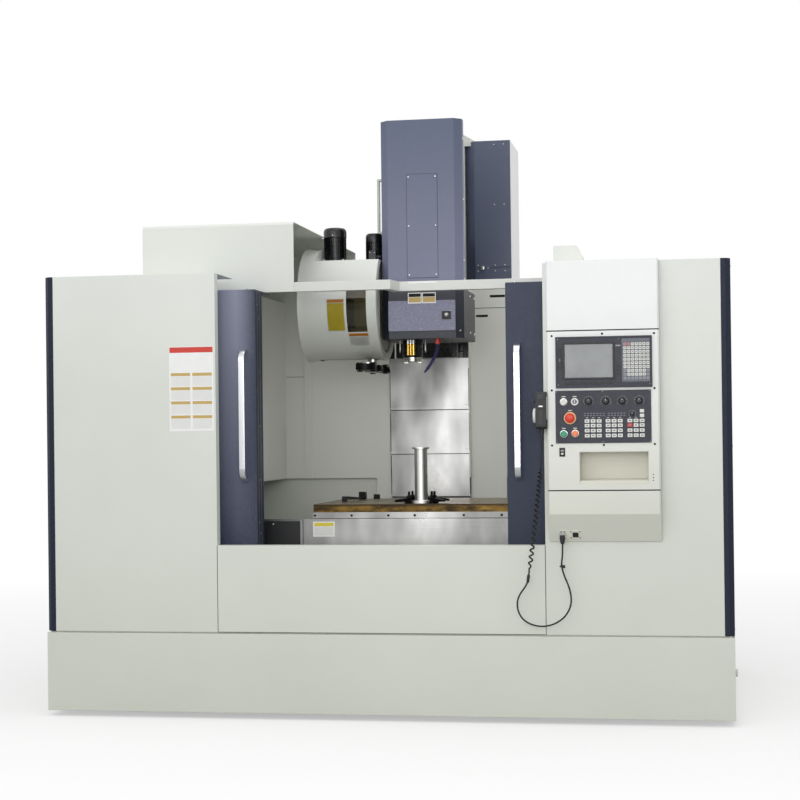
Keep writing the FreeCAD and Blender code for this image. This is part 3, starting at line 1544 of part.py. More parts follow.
makers = {
    "bed": make_bed,
    "levelling_feet": make_levelling_feet,
    "base_skirt": make_base_skirt,
    "left_cabinet": make_left_cabinet,
    "right_cabinet": make_right_cabinet,
    "corner_trims": make_corner_trims,
    "front_sill": make_front_sill,
    "top_beam": make_top_beam,
    "magazine_guard": make_magazine_guard,
    "inner_walls": make_inner_walls,
    "column": make_column,
    "column_cover": make_column_cover,
    "feed_motors": make_feed_motors,
    "rear_cabinet": make_rear_cabinet,
    "rear_door": make_rear_door,
    "saddle": make_saddle,
    "saddle_apron": make_saddle_apron,
    "table": make_table,
    "test_bar": make_test_bar,
    "clamp_set": make_clamp_set,
    "headstock": make_headstock,
    "head_cover": make_head_cover,
    "head_plate": make_head_plate,
    "spindle_motor": make_spindle_motor,
    "spindle_housing": make_spindle_housing,
    "spindle": make_spindle,
    "coolant_hose": make_coolant_hose,
    "column_plate_upper": lambda: column_plate(0, upper_plate_bottom, carriage_bottom),
    "column_plate_middle": lambda: column_plate(1, middle_plate_bottom, middle_plate_top),
    "column_plate_lower": lambda: column_plate(2, lower_plate_bottom, lower_plate_top),
    "magazine_cover": make_magazine_cover,
    "magazine_window": make_magazine_window,
    "magazine_disc": make_magazine_disc,
    "arm_gearbox": make_arm_gearbox,
    "magazine_motors": make_magazine_motors,
    "arm_shaft": make_arm_shaft,
    "change_arm": make_change_arm,
    "left_door": lambda: make_door(1),
    "right_door": lambda: make_door(-1),
    "left_window": lambda: make_window(1),
    "right_window": lambda: make_window(-1),
    "left_handle": lambda: make_handle(1),
    "right_handle": lambda: make_handle(-1),
    "control_box": make_control_box,
    "display_unit": make_display_unit,
    "display_glass": make_display_glass,
    "operator_panel": make_operator_panel,
    "panel_controls": make_panel_controls,
    "panel_sockets": make_panel_sockets,
    "emergency_stop": make_emergency_stop,
    "start_button": lambda: make_button(start_centre, button_radius, button_height, button_travel + 1),
    "hold_button": lambda: make_button(hold_centre, button_radius, button_height, button_travel + 1),
    "power_button": lambda: make_button(power_centre, button_radius, button_height, button_travel + 1),
    "key_switch": make_key_switch,
    "pendant_body": make_pendant_body,
    "pendant_wheel": make_pendant_wheel,
    "pendant_lead": make_pendant_lead,
    "pendant_coil": make_pendant_coil,
    "pendant_loop": make_pendant_loop,
}

os.makedirs("parts", exist_ok=True)
home = Vector(0, -depth_middle, floor_gap)
for name, make in makers.items():
    made = make()
    shape = Part.makeCompound(made) if isinstance(made, list) else made
    shape = shape.copy()
    shape.translate(home)
    if not shape.isValid() or not shape.Solids:
        print("PROBLEM", name, shape.isValid(), len(shape.Solids))
    if len(shape.Solids) == 1:
        shape = shape.Solids[0]
    shape.exportStep(os.path.join("parts", name + ".step"))
print(len(makers), "nodes, depth", round(rear_most - front_most, 1), "middle", round(depth_middle, 2))
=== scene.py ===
import bmesh
import bpy
import json
from math import atan2, cos, radians, sin, sqrt, tau
from mathutils import Matrix, Vector


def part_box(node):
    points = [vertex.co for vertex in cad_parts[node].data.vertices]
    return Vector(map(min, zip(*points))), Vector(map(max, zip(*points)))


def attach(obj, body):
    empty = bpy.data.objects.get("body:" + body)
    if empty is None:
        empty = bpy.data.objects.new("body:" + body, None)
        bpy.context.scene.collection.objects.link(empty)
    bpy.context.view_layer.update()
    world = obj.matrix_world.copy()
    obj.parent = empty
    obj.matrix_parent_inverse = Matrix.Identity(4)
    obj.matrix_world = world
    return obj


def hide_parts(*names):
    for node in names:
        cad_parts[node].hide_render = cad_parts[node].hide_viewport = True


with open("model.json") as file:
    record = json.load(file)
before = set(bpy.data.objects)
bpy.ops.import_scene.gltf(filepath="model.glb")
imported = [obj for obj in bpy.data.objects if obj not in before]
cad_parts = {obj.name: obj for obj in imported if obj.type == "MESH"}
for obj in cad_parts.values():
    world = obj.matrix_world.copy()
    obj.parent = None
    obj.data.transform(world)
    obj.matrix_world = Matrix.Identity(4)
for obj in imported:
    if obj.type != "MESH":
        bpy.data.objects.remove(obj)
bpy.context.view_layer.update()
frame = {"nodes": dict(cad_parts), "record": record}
nodes = frame["nodes"]
record = frame["record"]
slot_of = {part["node"]: part["material_slot"] for part in record["subparts"]}
body_of = {}
for body_name, members in record["behaviour"]["bodies"].items():
    for member in members:
        body_of[member] = body_name

# The drawing is in millimetres: X to the operator's right, Y from the cabinets' front to their rear,
# Z up from the cabinets' bottom edge.
DEPTH_MIDDLE = 1340.4
FLOOR_GAP = 25


def at(x, y, z):
    """A place of the drawing, in the frame's metres."""
    return Vector((x / 1000, (y - DEPTH_MIDDLE) / 1000, (z + FLOOR_GAP) / 1000))


def drawn_box(node):
    """The lowest and the highest corner of a node, in the drawing's millimetres."""
    return [(x * 1000, y * 1000 + DEPTH_MIDDLE, z * 1000 - FLOOR_GAP) for x, y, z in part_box(node)]


def placed(name, data):
    """A new object in the scene."""
    made = bpy.data.objects.new(name, data)
    bpy.context.scene.collection.objects.link(made)
    return made


# ---- camera, solved from the edges of the enclosure in the photo ----
CAMERA_PLACE = (1390.2, -7333.3, 1208.3)
CAMERA_AZIMUTH = 9.97
CAMERA_TILT = 90.33
CAMERA_ROLL = -0.69
camera_data = bpy.data.cameras.new("camera")
camera_data.sensor_width = 36
camera_data.lens = 78.2
camera_data.shift_y = 0.0295
camera_data.clip_end = 100
camera = placed("camera", camera_data)
camera.matrix_world = (
    Matrix.Translation(at(*CAMERA_PLACE))
    @ Matrix.Rotation(radians(CAMERA_AZIMUTH), 4, "Z")
    @ Matrix.Rotation(radians(CAMERA_TILT), 4, "X")
    @ Matrix.Rotation(radians(CAMERA_ROLL), 4, "Z")
)
bpy.context.scene.camera = camera


# ---- shader nodes and colours ----
def feed(tree, socket, value):
    """Gives a socket a constant, or the output of another node."""
    if isinstance(value, bpy.types.NodeSocket):
        tree.links.new(value, socket)
    else:
        socket.default_value = value


def shader_node(tree, kind, inputs, output=0, **settings):
    """One output of a new node; inputs maps its sockets' names or numbers to what they are given."""
    node = tree.nodes.new(kind)
    for key, value in settings.items():
        setattr(node, key, value)
    for key, value in inputs.items():
        feed(tree, node.inputs[key], value)
    return node.outputs[output]


def rgb(red, green, blue):
    """Linear values of a colour given as 0 to 255."""
    values = []
    for value in (red, green, blue):
        value = value / 255
        values.append(value / 12.92 if value <= 0.04045 else ((value + 0.055) / 1.055) ** 2.4)
    return (*values, 1)


def scaled(colour, factor):
    return (*(min(value * factor, 1) for value in colour[:3]), 1)


class Surface:
    """A procedural material with its node tree and a few short ways of adding to it."""

    def __init__(self, name, rough=0.4, metal=0):
        self.material = bpy.data.materials.new(name)
        self.material.use_nodes = True
        self.tree = self.material.node_tree
        self.shader = self.tree.nodes["Principled BSDF"]
        self.coords = self.node("ShaderNodeTexCoord", {}, "Object")
        self.normal = None
        self.give("Roughness", rough)
        self.give("Metallic", metal)

    def node(self, kind, inputs, output=0, **settings):
        return shader_node(self.tree, kind, inputs, output, **settings)

    def give(self, socket, value):
        feed(self.tree, self.shader.inputs[socket], value)

    def stretched(self, *scale):
        return self.node("ShaderNodeMapping", {"Vector": self.coords, "Scale": scale})

    def noise(self, scale, detail=2, vector=None, rough=0.5):
        return self.node("ShaderNodeTexNoise", {
            "Scale": scale, "Detail": detail, "Roughness": rough, "Vector": vector or self.coords,
        }, "Fac")

    def span(self, value, low, high, out_low=0, out_high=1):
        return self.node("ShaderNodeMapRange", {
            "Value": value, "From Min": low, "From Max": high, "To Min": out_low, "To Max": out_high,
        }, "Result")

    def mix(self, factor, a, b):
        """Colour a where factor is 0 and colour b where it is 1."""
        return self.node("ShaderNodeMix", {0: factor, 6: a, 7: b}, 2, data_type="RGBA")

    def cloudy(self, noise, colour, darker, lighter):
        """A colour that drifts between two factors of itself with a noise."""
        return self.mix(self.span(noise, 0.3, 0.7), scaled(colour, darker), scaled(colour, lighter))

    def axis(self, index):
        return self.node("ShaderNodeSeparateXYZ", {0: self.coords}, index)

    def uneven_gloss(self, noise, low, high):
        self.give("Roughness", self.span(noise, 0.3, 0.7, low, high))

    def bump(self, height, strength, distance):
        inputs = {"Strength": strength, "Distance": distance, "Height": height}
        if self.normal:
            inputs["Normal"] = self.normal
        self.normal = self.node("ShaderNodeBump", inputs, "Normal")
        self.give("Normal", self.normal)


# ---- makers of materials ----
def powder_coat(name, colour, rough=0.42, tone=0.03, peel=0.1, flecks=0, foot=None, reach=(0.1, 1.95),
                dark_paint_and_shade_below=None, fleck_scale=900, across=None, gloss=0.5):
    """Baked paint on sheet steel: faint cloudy tone, an orange-peel skin and slightly wavy sheet.

    foot is the tone at the lower height of reach: painted shade where it is darker, and a painted reflection
    where it is lighter.
    across is (start, end, colour) of painted shade that fades in along X, and dark_paint_and_shade_below is
    (height, colour) of a lower part in dark paint with painted shade.
    """
    s = Surface(name, rough)
    s.give("Specular IOR Level", gloss)
    clouds = s.noise(1.7, 3)
    base = s.cloudy(clouds, colour, 1 - tone, 1 + tone)
    # painted light: a fade to the foot tone lower down; painted shade on most paints, a painted reflection
    # on the head cover
    if foot:
        base = s.mix(s.span(s.axis(2), *reach), s.cloudy(clouds, foot, 1 - tone, 1 + tone), base)
    # painted shade: a fade to a darker colour along X
    if across:
        start, end, dark = across
        base = s.mix(s.span(s.axis(0), start, end), base, dark)
    # dark paint with painted shade below a height
    if dark_paint_and_shade_below:
        edge, dark = dark_paint_and_shade_below
        base = s.mix(s.span(s.axis(2), edge - 0.001, edge + 0.001), dark, base)
    if flecks:
        fine = s.noise(fleck_scale, 1)
        base = s.mix(s.span(fine, 0.5, 0.72, 0, flecks), base, scaled(colour, 1.9))
    s.give("Base Color", base)
    s.uneven_gloss(s.noise(60), rough - 0.05, rough + 0.06)
    s.bump(s.noise(650), peel, 0.0004)
    s.bump(s.noise(2.6, 1), 0.25, 0.004)
    return s.material


def cast_paint(name, colour):
    """Thick paint over a filled casting."""
    s = Surface(name, 0.5)
    s.give("Base Color", s.cloudy(s.noise(4, 4), colour, 0.93, 1.04))
    s.uneven_gloss(s.noise(30), 0.42, 0.58)
    s.bump(s.noise(180, 3), 0.18, 0.0008)
    s.bump(s.noise(9), 0.2, 0.003)
    return s.material


def brushed(name, colour, rough, grain, tone=0.1, sheen_streaks=None):
    """Metal with its grain along one direction; sheen_streaks is the scale of broad bands on top, darker
    between them as painted reflections.
    """
    s = Surface(name, rough, 1)
    lines = s.noise(1, 3, s.stretched(*grain), 0.6)
    base = s.mix(s.span(lines, 0.25, 0.75), scaled(colour, 1 - tone), scaled(colour, 1 + tone))
    # painted reflection: broad bands that darken the colour between them
    if sheen_streaks:
        bands = s.noise(1, 1.5, s.stretched(*sheen_streaks))
        base = s.mix(s.span(bands, 0.35, 0.68), scaled(colour, 0.62), base)
    s.give("Base Color", base)
    s.give("Roughness", s.span(lines, 0.2, 0.8, rough - 0.08, rough + 0.1))
    s.bump(lines, 0.12, 0.0003)
    return s.material


def sheet_steel(name, colour):
    """Cold-rolled stainless sheet: fine level grain, broad soft stretches that differ in polish and whose
    duller parts are darkened as a painted reflection, and smaller darker patches.
    """
    s = Surface(name, 0.28, 1)
    lines = s.noise(1, 3, s.stretched(2, 2, 420), 0.6)
    polish_and_sheen = s.noise(1, 2.5, s.stretched(3.6, 3.6, 1.5), 0.55)
    dark_patches = s.noise(1, 3, s.stretched(9, 9, 5), 0.6)
    # painted reflection: the duller stretches darkened down to a third of the colour
    base = s.mix(s.span(polish_and_sheen, 0.38, 0.6), scaled(colour, 0.3), colour)
    # darker in smaller patches
    base = s.mix(s.span(dark_patches, 0.4, 0.7, 0, 0.5), base, scaled(colour, 0.5))
    s.give("Base Color", s.mix(s.span(lines, 0.3, 0.7, 0.25, 0), base, scaled(colour, 0.5)))
    s.give("Roughness", s.span(polish_and_sheen, 0.35, 0.65, 0.4, 0.24))
    s.bump(lines, 0.05, 0.0002)
    return s.material


def plastic(name, colour, rough=0.45, texture=0.08, tone=0.04):
    s = Surface(name, rough)
    s.give("Base Color", s.cloudy(s.noise(25, 3), colour, 1 - tone, 1 + tone))
    s.uneven_gloss(s.noise(90), rough - 0.05, rough + 0.05)
    s.bump(s.noise(1400), texture, 0.0003)
    return s.material


def glazing(name, colour):
    """Clear or brown glass with a faint haze."""
    s = Surface(name, 0.02)
    s.give("Base Color", s.cloudy(s.noise(6, 3), colour, 0.97, 1.02))
    s.give("Transmission Weight", 1)
    s.give("IOR", 1.46)
    s.give("Roughness", s.span(s.noise(14, 4), 0.4, 0.8, 0.02, 0.06))
    return s.material


def table_iron(name):
    """Ground cast iron under rust-preventing oil, which has pooled in brown patches; the sides are dark
    brown with golden patches, partly oil and partly painted highlights, and dark along their top edge.
    """
    lip_low, lip_high = 0.897, 0.909
    s = Surface(name, 0.36, 0.75)
    lines = s.noise(1, 3, s.stretched(5, 260, 5), 0.6)
    metal = s.mix(s.span(lines, 0.3, 0.7), rgb(118, 108, 86), rgb(150, 138, 112))
    patches = s.noise(5.5, 6, None, 0.65)
    oily = s.mix(s.span(patches, 0.4, 0.62), metal, rgb(122, 96, 56))
    top = s.mix(s.span(s.noise(38, 5), 0.55, 0.8, 0, 0.7), oily, rgb(64, 50, 32))
    # the sides: dark brown with golden patches, partly oil and partly painted highlights
    runs = s.noise(1, 4, s.stretched(11, 11, 30), 0.6)
    side = s.mix(s.span(runs, 0.38, 0.66), rgb(54, 42, 20), rgb(138, 108, 50))
    # darker along the top edge of the sides
    side = s.mix(s.span(s.axis(2), lip_low, lip_high), side, rgb(52, 42, 28))
    facing = s.node("ShaderNodeNewGeometry", {}, "Normal")
    upward = s.node("ShaderNodeSeparateXYZ", {0: facing}, 2)
    s.give("Base Color", s.mix(s.span(upward, 0.4, 0.6), side, top))
    s.give("Roughness", s.span(patches, 0.35, 0.65, 0.42, 0.2))
    s.bump(s.noise(240, 3), 0.1, 0.0004)
    return s.material


def screen_glass(name):
    """A dull screen that is off."""
    s = Surface(name, 0.16)
    s.give("Base Color", s.mix(s.span(s.noise(9), 0.3, 0.7), rgb(106, 110, 113), rgb(120, 124, 126)))
    s.uneven_gloss(s.noise(40), 0.12, 0.2)
    return s.material


materials = {}


def make_all(maker, **rows):
    """A material of each name: red, green and blue, and then what the maker takes after its colour."""
    for name, (red, green, blue, *looks) in rows.items():
        materials[name] = maker(name, rgb(red, green, blue), *looks)


DOOR_SHADE_REACH = (0.75, 1.85)
ALONG_Z = (5, 5, 1200)
LABEL = (0.35, 0.02, 0.02)
make_all(
    powder_coat,
    # cream_paint: darker towards its foot colour lower down, as painted shade
    cream_paint=(224, 227, 221, 0.4, 0.03, 0.1, 0, rgb(211, 214, 203)),
    pale_paint=(218, 220, 215, 0.36),
    wall_paint=(228, 229, 222, 0.34),
    white_paint=(240, 240, 243, 0.34),
    tray_paint=(222, 221, 208, 0.5),
    # box_paint: darker lower down as painted shade, and whiter than the cream, partly in its own paint and
    # partly as a painted reflection
    box_paint=(238, 240, 240, 0.34, 0.02, 0.08, 0, rgb(214, 216, 205), (0.9, 1.8)),
    column_paint=(72, 80, 102, 0.42, 0.05, 0.22, 0.25),
    # cover_paint: lighter lower down as a painted reflection, and near black below 1.931 m, partly dark
    # paint and partly painted shade
    cover_paint=(84, 93, 117, 0.4, 0.05, 0.22, 0.3, rgb(120, 124, 148), (2, 2.72),
                 (1.931, rgb(27, 29, 37))),
)
make_all(cast_paint, bed_paint=(205, 207, 201))
make_all(sheet_steel, stainless=(236, 236, 235))
make_all(
    brushed,
    machined_steel=(205, 204, 198, 0.2, (4, 4, 900), 0.06),
    aluminium=(226, 228, 232, 0.26, (500, 500, 4), 0.05),
    black_steel=(34, 33, 33, 0.42, (60, 60, 60), 0.2),
    # brass: vertical bands of painted reflection
    brass=(255, 214, 110, 0.24, (500, 500, 5), 0.1, (40, 40, 0.2)),
    ground_steel=(212, 212, 210, 0.24, ALONG_Z, 0.05),
    bar_steel=(222, 222, 220, 0.34, ALONG_Z, 0.04),
    screw_steel=(176, 176, 174, 0.3, (80, 80, 80), 0.12),
    guard_grey=(120, 122, 124, 0.4, (4, 500, 4)),
)
make_all(
    plastic,
    black_paint=(18, 19, 22, 0.26, 0.1),
    panel_plate=(42, 45, 57, 0.5, 0.12),
    white_plastic=(226, 226, 220),
    black_plastic=(20, 20, 22, 0.46, 0.15),
    red_plastic=(214, 52, 34, 0.3, 0.04),
    green_plastic=(20, 150, 112, 0.3, 0.04),
    orange_plastic=(238, 124, 72, 0.3, 0.04),
    yellow_plastic=(236, 196, 40, 0.4, 0.04),
    knob_plastic=(34, 35, 38, 0.42, 0.1),
    hose_plastic=(44, 38, 92, 0.34, 0.05),
    cord_rubber=(13, 13, 15, 0.48, 0.12),
    seal_rubber=(34, 34, 36, 0.6, 0.2),
    hole_black=(12, 12, 13, 0.8, 0.1),
    guard_black=(30, 31, 34, 0.4, 0.1),
    key_grey=(150, 152, 156, 0.5, 0.05),
    key_rose=(196, 132, 130, 0.5, 0.05),
    key_plate=(104, 108, 116, 0.5, 0.06),
    stop_ring=(240, 190, 138, 0.4, 0.04),
    seam_line=(70, 70, 64, 0.7, 0.1),
    seam_shadow=(120, 120, 114, 0.7, 0.1),
    label_grey=(120, 126, 132, 0.5, 0.05),
    plain_label=(240, 241, 239, *LABEL),
    yellow_label=(222, 204, 60, *LABEL),
    orange_label=(226, 150, 50, *LABEL),
    red_label=(206, 60, 44, *LABEL),
    gold_label=(196, 166, 96, *LABEL),
    pale_field=(226, 227, 224, 0.4, 0.02, 0.02),
)
make_all(glazing, window_glass=(226, 234, 234), brown_glass=(156, 146, 104))
materials["table_iron"] = table_iron("table_iron")
materials["screen_glass"] = screen_glass("screen_glass")
materials["plate_paint"] = powder_coat(
    "plate_paint", rgb(124, 126, 148), 0.38, 0.05, 0.5, 0.8, fleck_scale=260,
)
materials["trim_paint"] = powder_coat("trim_paint", rgb(34, 40, 56), 0.46, 0.05, 0.4, 0.35, gloss=0.2)
# door_paint: lighter at the top and darker towards the bottom and towards the leading edge, as painted shade
materials["door_paint"] = powder_coat(
    "door_paint", rgb(142, 146, 166), 0.4, 0.04, 0.2, 0.3, rgb(52, 59, 80), DOOR_SHADE_REACH,
    across=(-0.66, -0.575, rgb(40, 46, 66)), gloss=0.25,
)
# shaded_door_paint: the door paint made darker all over for the right door, and darker towards the bottom,
# as painted shade
materials["shaded_door_paint"] = powder_coat(
    "shaded_door_paint", rgb(62, 67, 85), 0.42, 0.04, 0.2, 0.3, rgb(52, 59, 77), DOOR_SHADE_REACH, gloss=0.2,
)

# ---- mesh helpers; all sizes are in millimetres ----
FRONT = (0, -1, 0)
REAR = (0, 1, 0)
LEFT = (-1, 0, 0)
RIGHT = (1, 0, 0)
UP = (0, 0, 1)
DOWN = (0, 0, -1)


def finished(name, form, material, body, replaces=(), smooth=35):
    """Turns a bmesh into a piece that rides on a body; material is a name or a list of names."""
    names = [material] if isinstance(material, str) else material
    mesh = bpy.data.meshes.new(name)
    bmesh.ops.recalc_face_normals(form, faces=form.faces)
    form.to_mesh(mesh)
    form.free()
    for polygon in mesh.polygons:
        polygon.use_smooth = True
    mesh.set_sharp_from_angle(angle=radians(smooth))
    for one in names:
        mesh.materials.append(materials[one])
    piece = placed(name, mesh)
    piece.modifiers.new("normals", "WEIGHTED_NORMAL").keep_sharp = True
    if replaces:
        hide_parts(*replaces)
    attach(piece, body)
    return piece


def rounded(form, edges, bevel, **settings):
    """Breaks edges with two facets, or as many as settings say."""
    bmesh.ops.bevel(
        form, geom=edges, offset=bevel / 1000, profile=0.6, affect="EDGES", clamp_overlap=True,
        **settings,
    )


def dress(node, bevel, paint):
    """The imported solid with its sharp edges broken, in its slot's material or another paint."""
    flat, sharp = radians(0.4), radians(28)
    form = bmesh.new()
    form.from_mesh(nodes[node].data)
    bmesh.ops.remove_doubles(form, verts=form.verts, dist=0.00001)
    bmesh.ops.dissolve_limit(form, angle_limit=flat, verts=form.verts, edges=form.edges)
    edges = [e for e in form.edges if len(e.link_faces) == 2 and e.calc_face_angle(0) > sharp]
    rounded(form, edges, bevel, segments=2, loop_slide=True)
    slot = slot_of[node]
    finished(node + "_finish", form, paint or slot, body_of[node], (node,))


def frame_of(axis):
    """An axis and two directions across it."""
    axis = Vector(axis).normalized()
    aside = Vector(UP) if abs(axis.z) < 0.9 else Vector(RIGHT)
    across = (aside - axis * aside.dot(axis)).normalized()
    return axis, across, axis.cross(across)


def ring_of(form, middle, across, over, radius, segments):
    """A ring of vertices, or one vertex where the radius is 0; middle and the directions are vectors."""
    if radius <= 0:
        return [form.verts.new(middle)]
    ring = []
    for n in range(segments):
        angle = tau * n / segments
        ring.append(form.verts.new(
            middle + (across * cos(angle) + over * sin(angle)) * (radius / 1000)
        ))
    return ring


def skin(form, rings, segments, index, closed):
    """Faces from each ring to the next, and over both ends unless the rings are closed in a loop."""
    for a, b in zip(rings, rings[1:]):
        for n in range(segments):
            m = (n + 1) % segments
            corners = []
            for ring, place in ((a, n), (a, m), (b, m), (b, n)):
                vert = ring[place] if len(ring) > 1 else ring[0]
                if vert not in corners:
                    corners.append(vert)
            if len(corners) > 2:
                form.faces.new(corners).material_index = index
    for ring in () if closed else (rings[0], rings[-1]):
        if len(ring) > 1:
            form.faces.new(ring).material_index = index


def turned(form, centre, axis, profile, segments=32, index=0):
    """A body turned round an axis: profile is a list of (radius, distance along the axis).

    A profile that ends where it began makes a ring, with no end faces.
    """
    centre = at(*centre)
    axis, across, over = frame_of(axis)
    rings = []
    closed = profile[0] == profile[-1]
    for radius, along in profile[:-1] if closed else profile:
        middle = centre + axis * (along / 1000)
        rings.append(ring_of(form, middle, across, over, radius, segments))
    if closed:
        rings.append(rings[0])
    skin(form, rings, segments, index, closed)


def block(form, low, high, bevel=0.6, index=0, turn=None, segments=2):
    """A box between two corners with its edges rounded; turn is a matrix about its middle."""
    a, b = at(*low), at(*high)
    made = bmesh.ops.create_cube(form, size=1)["verts"]
    size = Matrix.Diagonal((*(b - a), 1))
    place = Matrix.Translation((a + b) / 2) @ (turn or Matrix.Identity(4)) @ size
    bmesh.ops.transform(form, matrix=place, verts=made)
    for face in {face for vert in made for face in vert.link_faces}:
        face.material_index = index
    if bevel:
        edges = {edge for vert in made for edge in vert.link_edges}
        rounded(form, list(edges), bevel, segments=segments, material=index)


def screw(form, centre, axis, radius=5, height=3, index=0):
    """A button-head socket screw."""
    r, h = radius, height
    turned(form, centre, axis, [
        (r, -0.6), (r, h * 0.25), (r * 0.9, h * 0.6), (r * 0.62, h * 0.95), (r * 0.42, h),
        (r * 0.4, h * 0.95), (r * 0.4, h * 0.35), (0, h * 0.35),
    ], 12, index)


TUBE_SIDES = 16


def swept(form, points, radii):
    """A closed tube along points in metres, with a radius in millimetres for each point."""
    rings = []
    across = None
    for n, point in enumerate(points):
        way = (points[min(n + 1, len(points) - 1)] - points[max(n - 1, 0)]).normalized()
        if across is None:
            across = frame_of(way)[1]
        across = (across - way * across.dot(way)).normalized()
        rings.append(ring_of(form, point, across, way.cross(across), radii[n], TUBE_SIDES))
    skin(form, rings, TUBE_SIDES, 0, False)


def plates(name, body, material, items, bevel=0.6, segments=1):
    """Blocks of one piece: each item is its two corners and, after the first material, its number."""
    form = bmesh.new()
    for x0, y0, z0, x1, y1, z1, *index in items:
        block(form, (x0, y0, z0), (x1, y1, z1), bevel, *(index or (0,)), None, segments)
    finished(name, form, material, body)


def screws(name, body, places, radius=5, height=2.6, material="screw_steel"):
    """Button-head screws: each place is (x, y, z, axis)."""
    form = bmesh.new()
    for x, y, z, axis in places:
        screw(form, (x, y, z), axis, radius, height)
    finished(name, form, material, body)


def lathe(name, body, material, jobs, segments=32, replaces=()):
    """Turned bodies of one piece: each job is (centre, axis, profile, material index)."""
    form = bmesh.new()
    for centre, axis, profile, index in jobs:
        turned(form, centre, axis, profile, segments, index)
    finished(name, form, material, body, replaces)


def around(count, radius, x, y, start=0):
    """Angle and place of points spaced evenly round a centre; start is a share of one step."""
    for n in range(count):
        angle = tau * (n + start) / count
        yield angle, x + radius * cos(angle), y + radius * sin(angle)


# ---- the pendant's cord: straight lead, curly stretch, and the loop to its socket ----
LEAD = [(713.7, -60, 1187), (713.72, -60, 1160), (713.72, -60, 1130.96), (710.4, -60, 1091.9)]
COIL_TOP = Vector((708, -60, 1064))
COIL_BEND = Vector((694, -60, 900))
COIL_BOTTOM = Vector((653, -61, 616))
TURNS = 20
EASE_TURNS = 2
COIL_RADIUS = 7.5
# the curve runs a little inside its control points
CONTROL_RADIUS = COIL_RADIUS * 1.02
CORD_RADIUS = 3.6
PER_TURN = 16
LOOP = [
    (646.3, -61.2, 569.3), (606, -59, 520), (600, -58, 470), (620, -57, 424), (662, -56, 398),
    (716, -56, 391), (770, -56, 408), (812, -56, 444), (832, -56, 497), (822, -56, 556),
    (799, -56, 608), (788, -56, 652), (795, -56.57, 688.8), (795, -56.57, 738.77),
]


def coil_line(share):
    """Place and direction of the coil's middle line at a share of its length."""
    rest = 1 - share
    place = COIL_TOP * rest ** 2 + COIL_BEND * (2 * share * rest) + COIL_BOTTOM * share ** 2
    way = (COIL_BEND - COIL_TOP) * (2 * rest) + (COIL_BOTTOM - COIL_BEND) * (2 * share)
    return place, way.normalized()


route = list(LEAD)
for step in range(TURNS * PER_TURN + 1):
    turn = step / PER_TURN
    centre, way = coil_line(turn / TURNS)
    aside = way.cross(Vector(REAR)).normalized()
    ahead = way.cross(aside)
    ease = min(turn / EASE_TURNS, (TURNS - turn) / EASE_TURNS, 1)
    radius = CONTROL_RADIUS * ease * ease * (3 - 2 * ease)
    angle = tau * turn
    route.append(tuple(
        centre + aside * (radius * cos(angle)) + ahead * (radius * sin(angle))
    ))
route.extend(LOOP)

curve = bpy.data.curves.new("pendant_cord", "CURVE")
curve.dimensions = "3D"
spline = curve.splines.new("NURBS")
spline.points.add(len(route) - 1)
for place, control in zip(route, spline.points):
    control.co = (*at(*place), 1)
spline.order_u = 3
spline.use_endpoint_u = True
spline.resolution_u = 4
curve.bevel_depth = CORD_RADIUS / 1000
curve.bevel_resolution = 3
curve.use_fill_caps = True
curve.materials.append(materials["cord_rubber"])
cord = placed("pendant_cord", curve)
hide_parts("pendant_lead", "pendant_coil", "pendant_loop")
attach(cord, "machine")

# a moulded sleeve where the curls end, and a tie on the loop
SLEEVE_START, SLEEVE_LENGTH = 6, 34
sleeve_top, sleeve_way = coil_line(1)
sleeve_points = []
for share in (0, 0.06, 0.5, 0.9, 1):
    sleeve_points.append(at(*(sleeve_top + sleeve_way * (SLEEVE_START + SLEEVE_LENGTH * share))))
form = bmesh.new()
swept(form, sleeve_points, (4.2, 6.6, 6.4, 6, 4.4))
sleeve = finished("cord_sleeve", form, "seal_rubber", "machine")
form = bmesh.new()
turned(form, (788.4, -56.2, 645), (0.05, 0, 1), [(4.4, -4), (5.2, -3), (5.2, 3), (4.4, 4)], 16)
block(form, (781, -58, 643.5), (786, -54.5, 646.5), 0.5)
block(form, (791.5, -60.5, 637), (805, -52.5, 651), 3.4)
tie = finished("cord_tie", form, "black_plastic", "machine")

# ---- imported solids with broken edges: the bevel of each node in millimetres ----
BEVELS = dict(
    bed=5, levelling_feet=2, base_skirt=2, left_cabinet=1.8, right_cabinet=1.8, corner_trims=6,
    front_sill=1.8, top_beam=2, magazine_guard=1.8, inner_walls=1, column=6, column_cover=2.5,
    rear_cabinet=2, rear_door=1.5, saddle=5, saddle_apron=0.8, table=1, clamp_set=1.2, headstock=5,
    head_cover=2.5, head_plate=1.2, spindle_motor=2, column_plate_upper=0.8, column_plate_middle=0.8,
    column_plate_lower=0.8, magazine_cover=1.5, magazine_disc=1.2, arm_gearbox=3, arm_shaft=1,
    change_arm=2, left_door=1.4, right_door=1.4, left_handle=2.5, right_handle=2.5, control_box=1.5,
    display_unit=1.5, operator_panel=0.8, pendant_body=3, feed_motors=3,
)
# paints that differ from the slot's own material; those of the doors, head cover and control box carry
# painted shade, and the head cover's and control box's a painted reflection too
PAINTS = dict(
    corner_trims="trim_paint", inner_walls="wall_paint", column_cover="column_paint",
    head_cover="cover_paint", head_plate="plate_paint", left_door="door_paint",
    right_door="shaded_door_paint", control_box="box_paint",
)
for node, bevel in BEVELS.items():
    dress(node, bevel, PAINTS.get(node))
for node in ("magazine_window", "left_window", "right_window", "display_glass"):
    nodes[node].material_slots[0].material = materials[slot_of[node]]

# ---- places that several pieces share ----
# faces of the control box, display unit, button desk, cabinets' sides and rear, and head plate
BOX_FACE = -72.5
UNIT = -80.5
DESK = -76.5
SIDE = 1500
BACK = 1860
PLATE_FACE = 922.2
# axes of the tools, the spindle and the change arm
TOOL_Y = 1100
SPINDLE_X = -24
ARM_X = -224
ARM_REACH = 200

